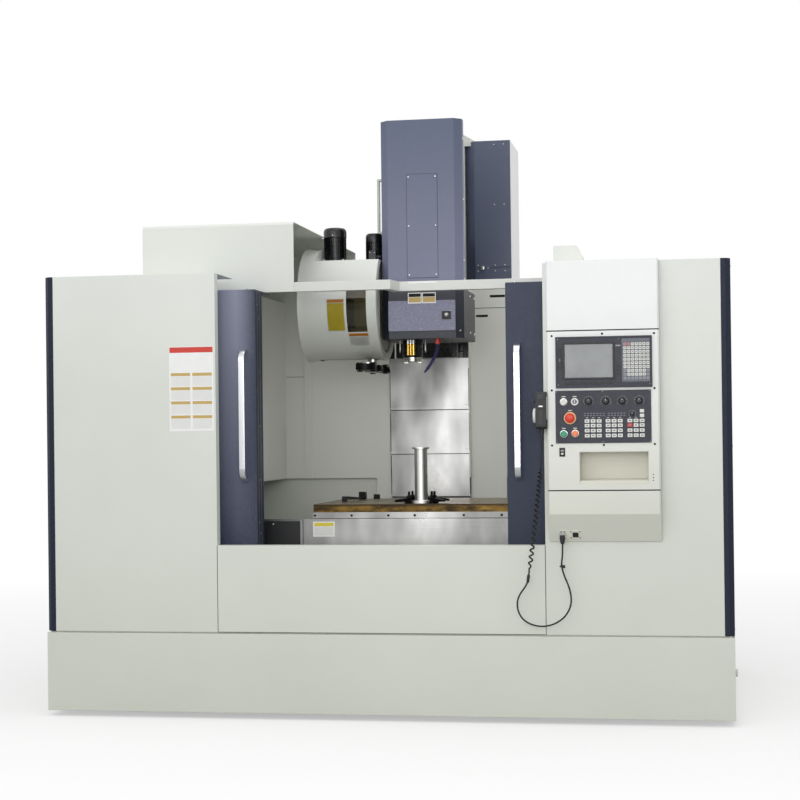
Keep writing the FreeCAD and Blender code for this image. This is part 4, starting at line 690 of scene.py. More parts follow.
# ---- control box ----
screws("box_frame_screws", "machine", [
    (x, BOX_FACE, z, FRONT) for x, z in (
        (761.5, 1608), (971, 1614), (1185, 1611.5), (759.5, 1381), (1184.5, 1384), (757.5, 1151),
        (973, 1151), (1183, 1153),
    )
], 4.6, 2.2, "black_steel")
# black strips in the box's two grooves: painted shade in the gaps
plates("box_groove_shade", "machine", "hole_black", [
    (738.6, -67.4, z, 1204.4, -65.7, z + 4.8) for z in (1626.6, 959.6)
], 0)
plates("box_tray_liner", "machine", "tray_paint", [
    (871.2, -71.5, 988.1, 1156.8, 27.4, 989.4), (871.2, 26.2, 988.1, 1156.8, 27.4, 1122.9),
    (871.1, -71.5, 989, 872.3, 27.4, 1122.9), (1155.7, -71.5, 989, 1156.9, 27.4, 1122.9),
    (871.2, -71.5, 1121.7, 1156.8, 27.4, 1122.9), (873, -71.5, 989.4, 1155, -66, 1003),
    (884, 20, 1008, 1144, 26.4, 1014),
], 0.3)
plates("box_marks", "machine", "hole_black", [
    (1173, -72.9, z, 1177.5, -72.2, z + 4) for z in (1000, 1012, 1025)
], 0)
plates("sill_seams", "machine", "seam_line", [
    (-717, -0.35, 352, -714.6, 0.5, 729), (715.6, -0.35, 352, 718, 0.5, 729),
    (-714, -0.35, 351.2, 715, 0.5, 353.4),
], 0)
plates("box_latch", "machine", ["black_plastic", "screw_steel"], [
    (1204.6, 8, 1245, 1212, 36, 1340), (1212, 13, 1262, 1216, 31, 1322),
    (1204.6, 4, 1284, 1209, 8.5, 1300, 1),
], 2, 2)


def on_face(form, face, x0, z0, x1, z1, proud, bevel, index, behind=0.5, turn=None):
    """A block from proud, in front of an upright face, to behind; behind is below 0 in front of it."""
    block(form, (x0, face - proud, z0), (x1, face + behind, z1), bevel, index, turn)


def key(form, face, x, z, half_wide, half_high, bevel, index, mark):
    """A key cap with its mark; mark is (half width, bottom, top) about the key's middle."""
    half, low, high = mark
    on_face(form, face, x - half_wide, z - half_high, x + half_wide, z + half_high, 3.4, bevel, index, 0)
    block(form, (x - half, face - 3.55, z + low), (x + half, face - 3.2, z + high), 0, MARK)


# ---- display unit: bezels, the keypad's own plate, keys under the screen, screws ----
form = bmesh.new()
for sheet in (
    (777, 1596, 1176, 1603), (777, 1389, 1176, 1396), (777, 1396, 784, 1596), (1169, 1396, 1176, 1596),
):
    on_face(form, UNIT, *sheet, 2.6, 1, 0)
for sheet in (
    (806, 1571, 1023, 1579), (806, 1424, 1023, 1432), (806, 1432, 815, 1571), (1014, 1432, 1023, 1571),
):
    on_face(form, UNIT, *sheet, 3.6, 1.4, 1)
on_face(form, UNIT, 1052, 1412, 1167, 1592, 0.9, 0.6, 2)
on_face(form, UNIT, 788, 1470, 801, 1558, 3, 1.2, 1)
on_face(form, UNIT, 791, 1500, 798, 1512, 4.2, 0.5, 2, -2.5)
for n in range(10):
    x = 823 + n * 20.2
    on_face(form, UNIT, x - 8, 1404, x + 8, 1414, 2.2, 0.8, 1, 0.3)
for z in (1440, 1456, 1472):
    on_face(form, UNIT, 1030, z, 1045, z + 10, 1.4, 0.6, 1, 0.3)
on_face(form, UNIT, 1026, 1560, 1047, 1566, 0.7, 0.3, 3, 0.3)
for x, z in ((787, 1592.5), (1166, 1402), (787, 1402), (1040, 1592.5)):
    screw(form, (x, UNIT - 0.2, z), FRONT, 2.6, 1.4, 3)
finished("display_bezel", form, ["panel_plate", "black_plastic", "key_plate", "key_grey"], "machine")

# ---- keys, knobs and marks, in place of the plain ones ----
KEYPAD_PITCH = 15.7
WHITE, GREY, ROSE, RED, MARK, KNOB = range(6)
form = bmesh.new()
for column in range(7):
    for row in range(10):
        index = WHITE
        if row == 0 and column < 2:
            index = ROSE
        elif (row > 6 and column in (0, 6)) or row == 9:
            index = GREY
        x, z = 1065 + column * KEYPAD_PITCH, 1568 - row * KEYPAD_PITCH
        key(form, UNIT, x, z, 6.3, 6, 1.3, index, (3.2, -1.6, 2.2))
for left in (905, 992, 1082):
    for x in (left, left + 25, left + 50):
        for z in (1251, 1232, 1211, 1190):
            index = RED if (x, z) == (1082, 1232) else WHITE
            key(form, DESK, x, z, 10, 7.2, 1.4, index, (5, -2, 2.6))
        on_face(form, DESK, x - 4, 1263.5, x + 4, 1265.5, 0.5, 0, WHITE, 0.3)
for n in range(13):
    x = 896 + n * 13 + (8 if n > 6 else 0)
    for z in (1273.5, 1282.5):
        on_face(form, DESK, x - 4.2, z - 1.6, x + 4.2, z + 1.6, 0.5, 0, MARK, 0.3)
for z in (1272, 1291):
    on_face(form, DESK, 1123, z - 7, 1141, z + 7, 3.2, 1.2, WHITE, 0)
for x, z, s in ((912, 1333, 1), (983, 1333, 1), (1051, 1333, 1), (1121, 1333, 1), (1092, 1279, 10 / 15)):
    turned(form, (x, DESK + 0.4, z), FRONT, [
        (15 * s, 0), (15 * s, 2.2), (12.8 * s, 3.4), (11.6 * s, 5.5), (11 * s, 14.5), (9.8 * s, 17.4),
        (0, 17.9),
    ], 24, KNOB)
    grip = (x - 2.6 * s, z - 9.5 * s, x + 2.6 * s, z + 10.5 * s)
    on_face(form, DESK, *grip, 18.2, 0.7, KNOB, -13)
    on_face(form, DESK, x - 0.7, z + 2 * s, x + 0.7, z + 9.5 * s, 18.5, 0, WHITE, -17.8)
    for n in range(11):
        angle = radians(-30 + 24 * n)
        mx, mz = x + 20.5 * s * cos(angle), z + 20.5 * s * sin(angle)
        mark = (mx - 1.9 * s, mz - 0.5, mx + 1.9 * s, mz + 0.5)
        rotate = Matrix.Rotation(-angle, 4, "Y")
        on_face(form, DESK, *mark, 0.45, 0, WHITE, 0.3, rotate)
for x, z in ((808, 1222), (855, 1222), (808.5, 1354), (854.5, 1354), (834.5, 1296)):
    on_face(form, DESK, x - 8, z - 1.6, x + 8, z + 1.6, 0.4, 0, WHITE, 0.3)
for x, z in ((779, 1374), (1165, 1374), (779, 1164), (1165, 1164), (970, 1374), (970, 1164)):
    screw(form, (x, DESK - 0.2, z), FRONT, 2.4, 1.2, GREY)
finished("panel_keys", form, [
    "white_plastic", "key_grey", "key_rose", "red_plastic", "label_grey", "knob_plastic",
], "machine", ("panel_controls",))

# ---- push buttons, emergency stop and key, with the rings under them ----
START, HOLD, POWER = (808, DESK, 1199), (855.5, DESK, 1200), (808.5, DESK, 1332)
STOP, KEY = (834.5, DESK, 1264.5), (854.5, DESK, 1332.5)
ring = [(13.3, -0.4), (15.9, -0.4), (15.9, 2.8), (14.6, 3.6), (13.3, 3.6), (13.3, -0.4)]
stop_ring = [(12.5, -0.3), (25.6, -0.3), (25.6, 3), (24.6, 3.9), (12.5, 3.9), (12.5, -0.3)]
key_ring = [(9.6, -0.3), (15.7, -0.3), (15.7, 1), (15, 1.7), (9.6, 1.7), (9.6, -0.3)]
lathe("button_rings", "machine", ["ground_steel", "stop_ring", "white_plastic"], [
    (START, FRONT, ring, 0), (HOLD, FRONT, ring, 0), (POWER, FRONT, ring, 0),
    (STOP, FRONT, stop_ring, 1), ((KEY[0], DESK - 2.6, KEY[2]), FRONT, key_ring, 2),
], 36)


def press(name, node, centre, material, crown):
    """A push button as far out as its solid, on a stem that runs back through the panel."""
    front = DESK - drawn_box(node)[0][1]
    rear = front - 8
    lathe(name, node, material, [(centre, FRONT, [
        (5.6, -20), (5.6, rear), (12.4, rear), (12.9, rear + 0.8), (12.9, front - 1.8),
        (11.9, front - 0.6), (10.4, front - 0.1), (9.8, front - crown), (0, front - crown - 0.1),
    ], 0)], 32, (node,))


press("start_cap", "start_button", START, "green_plastic", 0.9)
press("hold_cap", "hold_button", HOLD, "orange_plastic", 0.9)
press("power_cap", "power_button", POWER, "white_plastic", 0.7)
lathe("stop_mushroom", "emergency_stop", ["red_plastic", "white_plastic"], [
    (STOP, FRONT, [
        (5.6, -20), (5.6, 7.4), (11, 7.6), (12.5, 12.5), (18.6, 13.4), (20, 15), (20, 20.5), (19.2, 23),
        (16.5, 25.3), (11, 26.6), (0, 27),
    ], 0),
], 40, ("emergency_stop",))
form = bmesh.new()
turned(form, KEY, FRONT, [(9, -23.5), (9, 5.6), (8.2, 6.8), (0, 7)])
block(form, (853.1, DESK - 7.6, 1326), (855.9, DESK - 6.4, 1339), 0.2, 1)
finished("key_barrel", form, ["key_plate", "plain_label"], "key_switch", ("key_switch",))

# ---- socket plate and plug on the slanted face under the box, and the port beside the tray ----
SLANT_DEPTH, SLANT_HEIGHT, SLANT_TOP = 62.5, 116, 863
SOCKET_X, SOCKET_Z = 795, 777
lean = atan2(SLANT_DEPTH, SLANT_HEIGHT)
slant = Matrix.Rotation(lean, 4, "X")
slant_y = BOX_FACE + (SLANT_TOP - SOCKET_Z) / SLANT_HEIGHT * SLANT_DEPTH
outward = Vector((0, -cos(lean), -sin(lean)))
form = bmesh.new()
# the plate and the socket's block are made as if the slanted face stood upright, and then leant
block(form, (783, slant_y - 3, 757), (871, slant_y + 0.4, 797), 0.8, 0)
block(form, (836, slant_y - 7, 766), (860, slant_y - 2.6, 788), 1.5, 1)
pivot = at(0, slant_y, SOCKET_Z)
bmesh.ops.transform(
    form, matrix=Matrix.Translation(pivot) @ slant @ Matrix.Translation(-pivot), verts=form.verts
)
turned(form, (SOCKET_X, slant_y, SOCKET_Z), outward, [
    (15.5, 2.6), (15.5, 6), (14, 6.6), (14, 27), (15, 27.4), (15, 31.5), (13.6, 33), (0, 33),
], 28, 2)
for x in (788, 802, 866, 829):
    for rise in (-15, 15):
        centre = (x, slant_y - rise * sin(lean), SOCKET_Z + rise * cos(lean))
        turned(form, centre, outward, [(2.6, 2.4), (2.6, 3.9), (1.8, 4.5), (0, 4.5)], 10, 3)
tip = Vector((SOCKET_X, slant_y - 4, SOCKET_Z)) + outward * 30
turned(form, tip, DOWN, [
    (0, -13), (9.5, -12.6), (11, -11), (11, 8), (9.8, 9), (9.8, 18), (8.4, 19), (7, 24.4), (0, 24.4),
], 24, 1)
for low, high, index in (
    ((788, -74.6, 1104), (812, -72.3, 1141), 1), ((791, -75.4, 1108), (809, -74.2, 1137), 4),
    ((795, -76.4, 1112), (805, -75, 1120), 0), ((793.5, -76.2, 1125), (806.5, -75, 1133), 5),
):
    block(form, low, high, 0.7, index)
finished("sockets_finish", form, [
    "tray_paint", "black_plastic", "ground_steel", "black_steel", "hole_black", "key_grey",
], "machine", ("panel_sockets",))

# ---- pendant: dial with its ribs and ticks, and the trim of the body ----
DIAL_Y, DIAL_Z = -60, 1277
form = bmesh.new()
turned(form, (691.5, DIAL_Y, DIAL_Z), LEFT, [
    (5.8, -18), (5.8, 0), (27.5, 0), (30, 1.2), (30, 8), (29, 10.2), (26.4, 12), (25.6, 12.2),
    (25.6, 11.4), (9, 11.4), (8, 12.9), (0, 12.9),
], 48)
for angle, y, z in around(24, 29.7, DIAL_Y, DIAL_Z):
    turn = Matrix.Rotation(angle, 4, "X")
    block(form, (682.5, y - 0.9, z - 1.4), (690.2, y + 0.9, z + 1.4), 0, 0, turn)
for angle, y, z in around(24, 22, DIAL_Y, DIAL_Z):
    turn = Matrix.Rotation(angle, 4, "X")
    block(form, (679.6, y - 1.6, z - 0.4), (680.4, y + 1.6, z + 0.4), 0, 1, turn)
turned(form, (679.5, DIAL_Y, DIAL_Z + 18), LEFT, [
    (3, -0.5), (3, 1.4), (5, 2.6), (5.2, 9), (4.2, 10.9), (0, 11),
], 20, 1)
finished("wheel_dial", form, ["white_plastic", "black_plastic"], "pendant_wheel", ("pendant_wheel",))
plates("pendant_trim", "machine", ["knob_plastic", "white_plastic", "screw_steel"], [
    (690.9, -88, 1226, 692.6, -32, 1238), (706, -97.2, 1240, 722, -95.4, 1300),
    (705, -96.6, 1312, 723, -95.4, 1318, 2), (700, -97, 1345, 727, -95.4, 1366),
    (734.4, -82, 1228, 735.8, -38, 1368),
])

# ---- spindle cartridge, the rods and nozzles beside it, the spindle's nose and the coolant hose ----
rod = [(2.4, 0), (4.6, 6), (4.6, 12), (5.4, 13), (5.4, 30), (4.6, 31), (4.6, 61)]
jobs = [
    ((SPINDLE_X, TOOL_Y, 1582.5), UP, [
        (31, 0), (47, 0), (49.5, 1.6), (50, 3), (50, 10), (49, 11), (49, 13), (50, 14), (50, 82),
        (69, 82.6), (69, 122), (31, 122), (31, 0),
    ], 0),
    ((SPINDLE_X - 63, TOOL_Y, 1605), UP, rod, 3), ((SPINDLE_X + 63, TOOL_Y, 1605), UP, rod, 3),
]
for x in (SPINDLE_X - 13.6, SPINDLE_X, SPINDLE_X + 13.6):
    jobs.append(((x, 1041, 1590), UP, [
        (0, 0), (5.2, 0), (6.7, 1.4), (6.7, 50), (7.2, 51), (7.2, 55), (6.7, 56),
    ], 2))
    jobs.append(((x, 1041, 1646), UP, [(6.7, 0), (7.3, 0.8), (7.3, 7), (6.3, 8), (6.9, 9), (6.9, 19)], 1))
lathe("housing_finish", "head", ["black_paint", "ground_steel", "brass", "screw_steel"], jobs, 40,
      ("spindle_housing",))
form = bmesh.new()
turned(form, (SPINDLE_X, TOOL_Y, 1561), UP, [
    (12.75, 65), (22.2, 0), (25, -0.6), (42.6, 0), (44.45, 1.8), (44.45, 8), (43.4, 9), (43.4, 11),
    (44.45, 12), (44.45, 20), (43, 21), (30, 21), (30, 379),
], 48)
for x in (SPINDLE_X - 33, SPINDLE_X + 33):
    block(form, (x - 9, TOOL_Y - 8, 1553), (x + 9, TOOL_Y + 8, 1561.4), 1.2)
for angle, x, y in around(8, 37, SPINDLE_X, TOOL_Y, 0.5):
    screw(form, (x, y, 1561.2), DOWN, 3.4, 2.6, 1)
finished("spindle_finish", form, ["machined_steel", "ground_steel"], "spindle", ("spindle",))

HOSE_STEPS, HOSE_NOZZLE = 72, 65
HOSE_RIBS = (8.8, 9, 8.6, 6, 5.8)
a, b, c, d = (Vector(p) for p in ((121, 968, 1641), (121, 967, 1598), (101, 958, 1556), (56, 954, 1502)))
points = []
radii = []
for n in range(HOSE_STEPS):
    t = n / (HOSE_STEPS - 1)
    r = 1 - t
    points.append(at(*(a * r ** 3 + b * (3 * t * r ** 2) + c * (3 * t * t * r) + d * t ** 3)))
    radii.append(HOSE_RIBS[n % 5] if n < HOSE_NOZZLE else 6.6 - (n - HOSE_NOZZLE) * 0.44)
form = bmesh.new()
swept(form, points, radii)
turned(form, a, UP, [(9, -3), (12.4, -1), (13, 0), (13, 9), (11.5, 10), (11.5, 24.2)], 6, 1)
turned(form, (121, 968, 1655), UP, [(10, -3.4), (12.6, -3), (12.6, 3), (10, 3.4)], 24, 1)
finished("hose_finish", form, ["hose_plastic", "red_plastic"], "head", ("coolant_hose",), 50)

# ---- magazine motors: finned housings, flange, terminal box and screws ----
MOTOR_X, MOTOR_FOOT = -408, 2053
SMALL_MOTOR_X = -210
form = bmesh.new()
block(form, (MOTOR_X - 60, TOOL_Y - 60, MOTOR_FOOT), (MOTOR_X + 60, TOOL_Y + 60, 2067), 2)
for x in (MOTOR_X - 50, MOTOR_X + 50):
    for y in (TOOL_Y - 50, TOOL_Y + 50):
        screw(form, (x, y, 2067), UP, 5.5, 5, 1)
turned(form, (MOTOR_X, TOOL_Y, 2067), UP, [
    (50, -0.5), (50, 10), (46, 12), (46, 112), (56, 113), (57, 115), (57, 142), (55, 152), (48, 160),
    (34, 163.4), (0, 164),
], 40)
turned(form, (SMALL_MOTOR_X, TOOL_Y, MOTOR_FOOT), UP, [
    (43, 0), (43, 9), (36, 11), (36, 98), (42, 99), (43, 101), (43, 126), (41, 136), (34, 143), (0, 146),
], 36)
for centre, count, radius, deep, half, low, high in (
    (MOTOR_X, 32, 49.5, 6, 1.3, 2080, 2179), (SMALL_MOTOR_X, 28, 38, 4.6, 1.1, 2066, 2151),
):
    for angle, x, y in around(count, radius, centre, TOOL_Y):
        turn = Matrix.Rotation(angle, 4, "Z")
        block(form, (x - deep, y - half, low), (x + deep, y + half, high), 0, 0, turn)
for angle, x, y in around(3, 57, MOTOR_X, TOOL_Y, 0.25):
    screw(form, (x, y, 2190), (cos(angle), sin(angle), 0), 3, 1.6, 1)
block(form, (-228, 1035, MOTOR_FOOT), (-192, 1080, 2109), 3)
block(form, (-226, 1033.6, 2060), (-194, 1036, 2102), 1.2)
for x in (-222, -198):
    for z in (2064, 2098):
        screw(form, (x, 1033.8, z), FRONT, 2.4, 1.4, 1)
turned(form, (-180.5, 1058, 2078), RIGHT, [(9, -12), (9, 2), (7.5, 3), (7.5, 9), (0, 9)], 12)
finished("motors_finish", form, ["black_paint", "ground_steel"], "machine", ("magazine_motors",))

# ---- test bar, and the nuts and studs round its foot ----
BAR_X, BAR_Y = 100, 548
lathe("bar_finish", "table", ["bar_steel", "hole_black"], [
    ((BAR_X, BAR_Y, 887), UP, [
        (53, 0), (55, 1.5), (55, 12), (53.5, 14), (32, 14), (30, 16), (30, 248), (31, 250), (39, 250),
        (40, 251), (40, 256), (38.6, 258), (15, 258), (14, 257), (14, 251), (0, 251),
    ], 0),
], 56, ("test_bar",))
thread = [(5.2 if n % 2 else 5.9, n * 1.2) for n in range(16)]
form = bmesh.new()
for angle in (20, 78, 140, 215, 330):
    x = BAR_X + 62 * cos(radians(angle))
    y = BAR_Y + 62 * sin(radians(angle))
    turned(form, (x, y, 913), UP, [(13, 0), (13, 2), (0, 2)], 20)
    turned(form, (x, y, 915), UP, [(8.6, 0), (10, 1), (10, 9), (8.6, 10), (0, 10)], 6)
    turned(form, (x, y, 924), UP, [(5, -0.5), *thread, (4, 19), (0, 19.4)], 10)
finished("clamp_nuts", form, "black_steel", "table")

# ---- plain label fields: on the drum, the left cabinet, the apron and the head ----
DRUM_AXIS_Z = 1846
PATCH_ROWS = 10


def drum_patch(form, x0, x1, z0, z1, index, radius):
    """A curved field on the drum, between two heights."""
    before = None
    for n in range(PATCH_ROWS + 1):
        z = z0 + (z1 - z0) * n / PATCH_ROWS
        y = TOOL_Y - sqrt(radius * radius - (z - DRUM_AXIS_Z) ** 2)
        pair = [form.verts.new(at(x0, y, z)), form.verts.new(at(x1, y, z))]
        if before:
            form.faces.new((before[0], before[1], pair[1], pair[0])).material_index = index
        before = pair


form = bmesh.new()
for patch in (
    (-396, -309, 1705, 1859, 0, 277.6), (-393, -312, 1708, 1838, 1, 278), (-393, -312, 1841, 1856, 2, 278),
    (-299, -200, 1636, 1695, 0, 277.6), (-297, -202, 1681, 1693, 2, 278), (-291, -208, 1642, 1676, 3, 278),
):
    drum_patch(form, *patch)
bmesh.ops.solidify(form, geom=form.faces[:], thickness=0.0004)
finished("drum_labels", form, ["plain_label", "yellow_label", "orange_label", "pale_field"], "machine")
fields = [(-924, -0.7, 1230, -724, 0.2, 1600, 0), (-922, -1, 1574, -726, -0.5, 1598, 1)]
for x in (-917, -819):
    for z in (1470, 1408, 1346, 1284):
        fields.append((x, -1, z - 42, x + 88, -0.5, z, 2))
        fields.append((x, -1, z + 2, x + 88, -0.5, z + 15, 3))
plates("block_label", "machine", ["plain_label", "red_label", "pale_field", "gold_label"], fields, 0)
plates("apron_label", "saddle", ["plain_label", "yellow_label", "pale_field"], [
    (-386, 437.3, 741, -284, 438.2, 810), (-380, 437, 789, -290, 437.5, 805, 1),
    (-380, 437, 747, -290, 437.5, 785, 2),
], 0)
fields = [(-15, 922.2, 1848, 121, 926.4, 1886, 1)]
for x in (-15, 54):
    fields.append((x, 921.2, 1834, x + 67, 922.4, 1886, 0))
for x in (-11, 58):
    fields.append((x, 920.8, 1866, x + 59, 921.4, 1882, 1))
    fields.append((x, 920.8, 1840, x + 59, 921.4, 1864, 2))
plates("cover_labels", "head", ["plain_label", "hole_black", "gold_label"], fields, 0)

# ---- head: knob on the front plate, hatch and cover screws, black plates beside the column plates as painted shade ----
form = bmesh.new()
block(form, (150, 916, 1756), (193, 922.3, 1794), 1.2)
turned(form, (171.6, 917, 1775), FRONT, [
    (11, 0), (11, 2), (8.5, 4.5), (8.5, 9), (6, 10.5), (0, 10.5),
], 24, 1)
for x, z in ((152, 1797), (191, 1797), (152, 1753), (191, 1753)):
    screw(form, (x, PLATE_FACE, z), FRONT, 3.6, 2.6, 1)
for x, z in ((-62, 1752), (-104, 1712), (-104, 1838), (207, 1712), (207, 1838), (52, 1712)):
    screw(form, (x, PLATE_FACE, z), FRONT, 3.4, 2.2, 1)
screw(form, (236, 938, 1700), FRONT, 4.5, 3, 1)
finished("plate_fitting", form, ["black_plastic", "screw_steel"], "head")
screws("hatch_screws", "head", [
    (x, 924.1, z, FRONT) for x in (-7, 124) for z in (1972, 2208, 2444)
], 4.6, 2.6, "ground_steel")
both_sides = ((985, 2629), (985, 2334), (985, 2041), (1180, 1880), (1330, 1700))
screws("cover_screws", "head", [
    (252, y, z, RIGHT) for y, z in (*both_sides, (985, 1950), (1330, 1880), (1180, 1700))
] + [(-146, y, z, LEFT) for y, z in both_sides], 7, 4, "ground_steel")
plates("hatch_seam", "head", "hole_black", [(-17.2, 925.2, 1956.8, 134.2, 926.3, 2459.2)], 0)
# black plates beside the upper column plate, riding with the head: painted shade of the dark space under the
# head
plates("head_shade_plates", "head", "black_paint", [
    (x, 1785, 1606.5, x + 29, 1791, 1900) for x in (-266, 131)
], 0.5)

# ---- change arm: jaws, keepers and bolts at both ends ----
form = bmesh.new()
for way in (-1, 1):
    far = TOOL_Y + way * ARM_REACH
    c, d = sorted((far - way * 10, far - way * 62))
    for side in (-1, 1):
        a, b = sorted((ARM_X + side * 20, ARM_X + side * 46))
        block(form, (a, c, 1546.8), (b, d, 1555), 1.4)
        block(form, (a + 2, c + 3, 1510), (b - 2, d - 3, 1517.2), 1.4)
        for y in (far - way * 20, far - way * 50):
            screw(form, (ARM_X + side * 33, y, 1555), UP, 4.4, 3.4, 1)
    y = far - way * 70
    block(form, (ARM_X - 7, y - 6, 1546.8), (ARM_X + 7, y + 6, 1559), 1.2, 1)
    turned(form, (ARM_X, far - way * 92, 1532), (0, way, 0), [
        (7, 0), (7, 14), (5, 16), (5, 30), (0, 32),
    ], 16, 1)
for angle, x, y in around(6, 37, ARM_X, TOOL_Y):
    screw(form, (x, y, 1517), DOWN, 4.4, 3.6, 1)
finished("arm_fittings", form, ["black_steel", "ground_steel"], "change_arm")

# ---- column cover: pale right side, clamp knob and screws ----
plates("cover_side_sheet", "machine", "white_paint", [(385.6, 1853, 1926, 388.4, 2247, 2758)], 0.8)
form = bmesh.new()
turned(form, (234, 1850, 2084), FRONT, [
    (4, -0.5), (4, 8), (11, 10), (12, 13), (12, 20), (10, 23), (0, 24),
], 20)
for x, z in ((262, 2084), (300, 2098), (352, 2098), (352, 2066), (300, 2066), (208, 2098), (208, 2066),
             (300, 2740), (352, 2740), (352, 2420), (300, 2420)):
    screw(form, (x, 1849.9, z), FRONT, 4.2, 2.4, 1)
finished("cover_knob", form, ["ground_steel", "screw_steel"], "machine")

# ---- doors: guide strips, seals and screws on the leading edges, bolts on the roofs ----
ROOF = 1857
for side, body, x, way in (("left", "left_door", -572, 1), ("right", "right_door", 544, -1)):
    low, high = sorted((x, x + way))
    plates(side + "_door_strips", body, ["trim_paint", "seal_rubber"], [
        (low, 153, 706, high, 171, 1850, 1), (low, 196, 706, high, 214, 1850),
        (low, 240, 706, high, 263, 1850),
    ], 0.3)
    screws(side + "_door_screws", body, [
        (x + way * 0.9, 205, z, (way, 0, 0)) for z in (770, 1010, 1250, 1490, 1730)
    ] + [
        (x + way * 0.9, 182, z, (way, 0, 0)) for z in (820, 1790)
    ], 3.4, 1.4)
    lathe(side + "_door_bolts", body, "screw_steel", [
        ((x - way * inward, y, ROOF), UP, [(9, 0), (9, 1.6), (5.5, 1.8), (5.5, 5), (0, 5)], 0)
        for inward, y in ((40, 166), (46, 240), (300, 166))
    ], 6)

# ---- table and saddle: lip with its bolts, apron screws, the dark left panel ----
screws("lip_bolts", "table", [
    (x, 467, 836, FRONT) for x in (-383, -211, -40, 82, 307, 480, 650, 820, 990)
], 5.6, 4.6, "black_steel")
screws("apron_screws", "saddle", [(x, 438, 652, FRONT) for x in (-404, -150, 100, 350, 540)], 4.6)
plates("lip_strip", "table", "stainless", [(-391.5, 466.8, 824, 1007.5, 468.4, 851)], 0.4)
plates("side_panel", "saddle", ["guard_black", "stainless", "guard_grey"], [
    (-845, 439, 644, -434, 442, 820), (-845, 437.6, 812, -434, 440, 822, 2),
    (-446, 437.2, 644, -434.5, 439.4, 820, 1), (-845, 437.6, 640, -434, 470, 644.5, 2),
], 0.4)
screws("side_panel_screws", "saddle", [
    (x, 438.9, z, FRONT) for x in (-826, -700, -574) for z in (662, 798)
], 5, 2.4)

# ---- drip pans beside the bed ----
for name, a, b in (("left_pan", -848, -562), ("right_pan", 562, 848)):
    plates(name, "machine", ["bed_paint", "guard_grey"], [
        (a, 300, 556, b, 1000, 560), (a, 1000, 566, b, 1828, 570), (a, 996, 556, b, 1000, 570, 1),
    ], 0.5)

# ---- lips, shadow lines and screws of the three column plates ----
for level, body, proud in (("upper", "head", 1.6), ("middle", "plate_middle", 0.5),
                           ("lower", "plate_lower", 0.5)):
    (x0, y0, z0), (x1, _, _) = drawn_box("column_plate_" + level)
    x0, x1 = x0 + 0.6, x1 - 0.6
    plates(level + "_rim", body, ["stainless", "hole_black"], [
        (x0, y0 - proud, z0 + 3.2, x1, y0 + 0.3, z0 + 15),
        (x0, y0 - 0.4, z0 + 0.2, x1, y0 + 0.3, z0 + 3.6, 1),
        (x0 - 0.4, y0 - 0.4, z0 + 15, x0 + 2.2, y0 + 0.3, z0 + 220, 1),
        (x1 - 2.2, y0 - 0.4, z0 + 15, x1 + 0.4, y0 + 0.3, z0 + 220, 1),
    ], 0.2)
    screws(level + "_rim_screws", body, [
        (x, y0 + 0.1, z0 + 28, FRONT) for x in (x0 + 14, x1 - 14)
    ], 4, proud)

# ---- back wall and beam ----
plates("wall_slots", "machine", "hole_black", [
    (272, 1829.2, 1925, 352, 1830.4, 1938), (196, 1829.2, 1822, 260, 1830.4, 1834),
    (165, 1829.4, 1868, 844, 1830.3, 1871), (-843, 1829.4, 1520, -744, 1830.3, 1522),
], 0)
plates("beam_patch", "machine", "plain_label", [(55, 517.3, 1895, 189, 518.2, 1905)], 0)

# ---- enclosure: screws and seams on the sides, the back and the skirt ----
sides = [
    (way * SIDE, y, z, (way, 0, 0))
    for way in (-1, 1) for z in (372, 1140, 1896) for y in (95, 520, 960, 1400, 1830)
]
back = [
    (x, BACK, z, REAR)
    for z in (372, 1896) for x in (-1460, -1180, -900, -620, -360, 620, 900, 1180, 1460)
]
screws("panel_screws", "machine", sides + back, 5.2, 2.4)
screws("skirt_screws", "machine", [
    (way * SIDE, y, 60, (way, 0, 0)) for way in (-1, 1) for y in (140, 700, 1260, 1800)
], 6)
plates("side_seams", "machine", "seam_shadow", [
    (x, 955, 362, x + 1.4, 958.5, 1912) for x in (-SIDE - 0.6, SIDE - 0.8)
], 0)

# ---- rear cabinet: hinges, latches, isolator, grille and cable glands ----
REAR_FACE = 2784.3
form = bmesh.new()
for z in (900, 1520, 2140):
    turned(form, (-428, 2764, z - 35), UP, [(6.4, 0), (7, 0.8), (7, 69), (6.4, 70)], 16)
    block(form, (-427, 2752, z - 35), (-422.6, 2764, z + 35))
finished("rear_hinges", form, "black_paint", "machine")


def on_rear(x0, z0, x1, z1, near, far, bevel, index):
    """A block on the rear door, between two distances from its face."""
    block(form, (x0, REAR_FACE + near, z0), (x1, REAR_FACE + far, z1), bevel, index)


form = bmesh.new()
for z in (1010, 1520, 2030):
    on_rear(272, z - 45, 300, z + 45, -0.4, 2.6, 1.4, 0)
    on_rear(281, z - 30, 291, z + 30, 2.4, 6.4, 2, 0)
on_rear(150, 1760, 216, 1826, -0.4, 2.4, 2, 1)
turned(form, (183, REAR_FACE, 1793), REAR, [(24, 2), (24, 4), (19, 6), (0, 6.4)], 32, 2)
on_rear(178, 1772, 188, 1814, 4, 9.4, 2.4, 2)
for z in range(2020, 2200, 30):
    on_rear(-172, z - 2, 66, z + 12, -5.4, -4.4, 0, 3)
for x in (-411, -53, 305):
    for z in (775, 2265):
        screw(form, (x, REAR_FACE - 0.1, z), REAR, 4.6, 2.4, 4)
finished("rear_door_fittings", form, [
    "black_paint", "yellow_plastic", "red_plastic", "hole_black", "screw_steel",
], "rear_door")
lathe("cable_glands", "machine", "black_plastic", [
    ((317, y, 830), RIGHT, [
        (15, -0.4), (15, 6), (13, 6.4), (13, 12), (11, 15), (9, 22), (8.4, 22), (8.4, 18), (0, 18),
    ], 0) for y in (2560, 2608, 2656, 2704)
], 20)

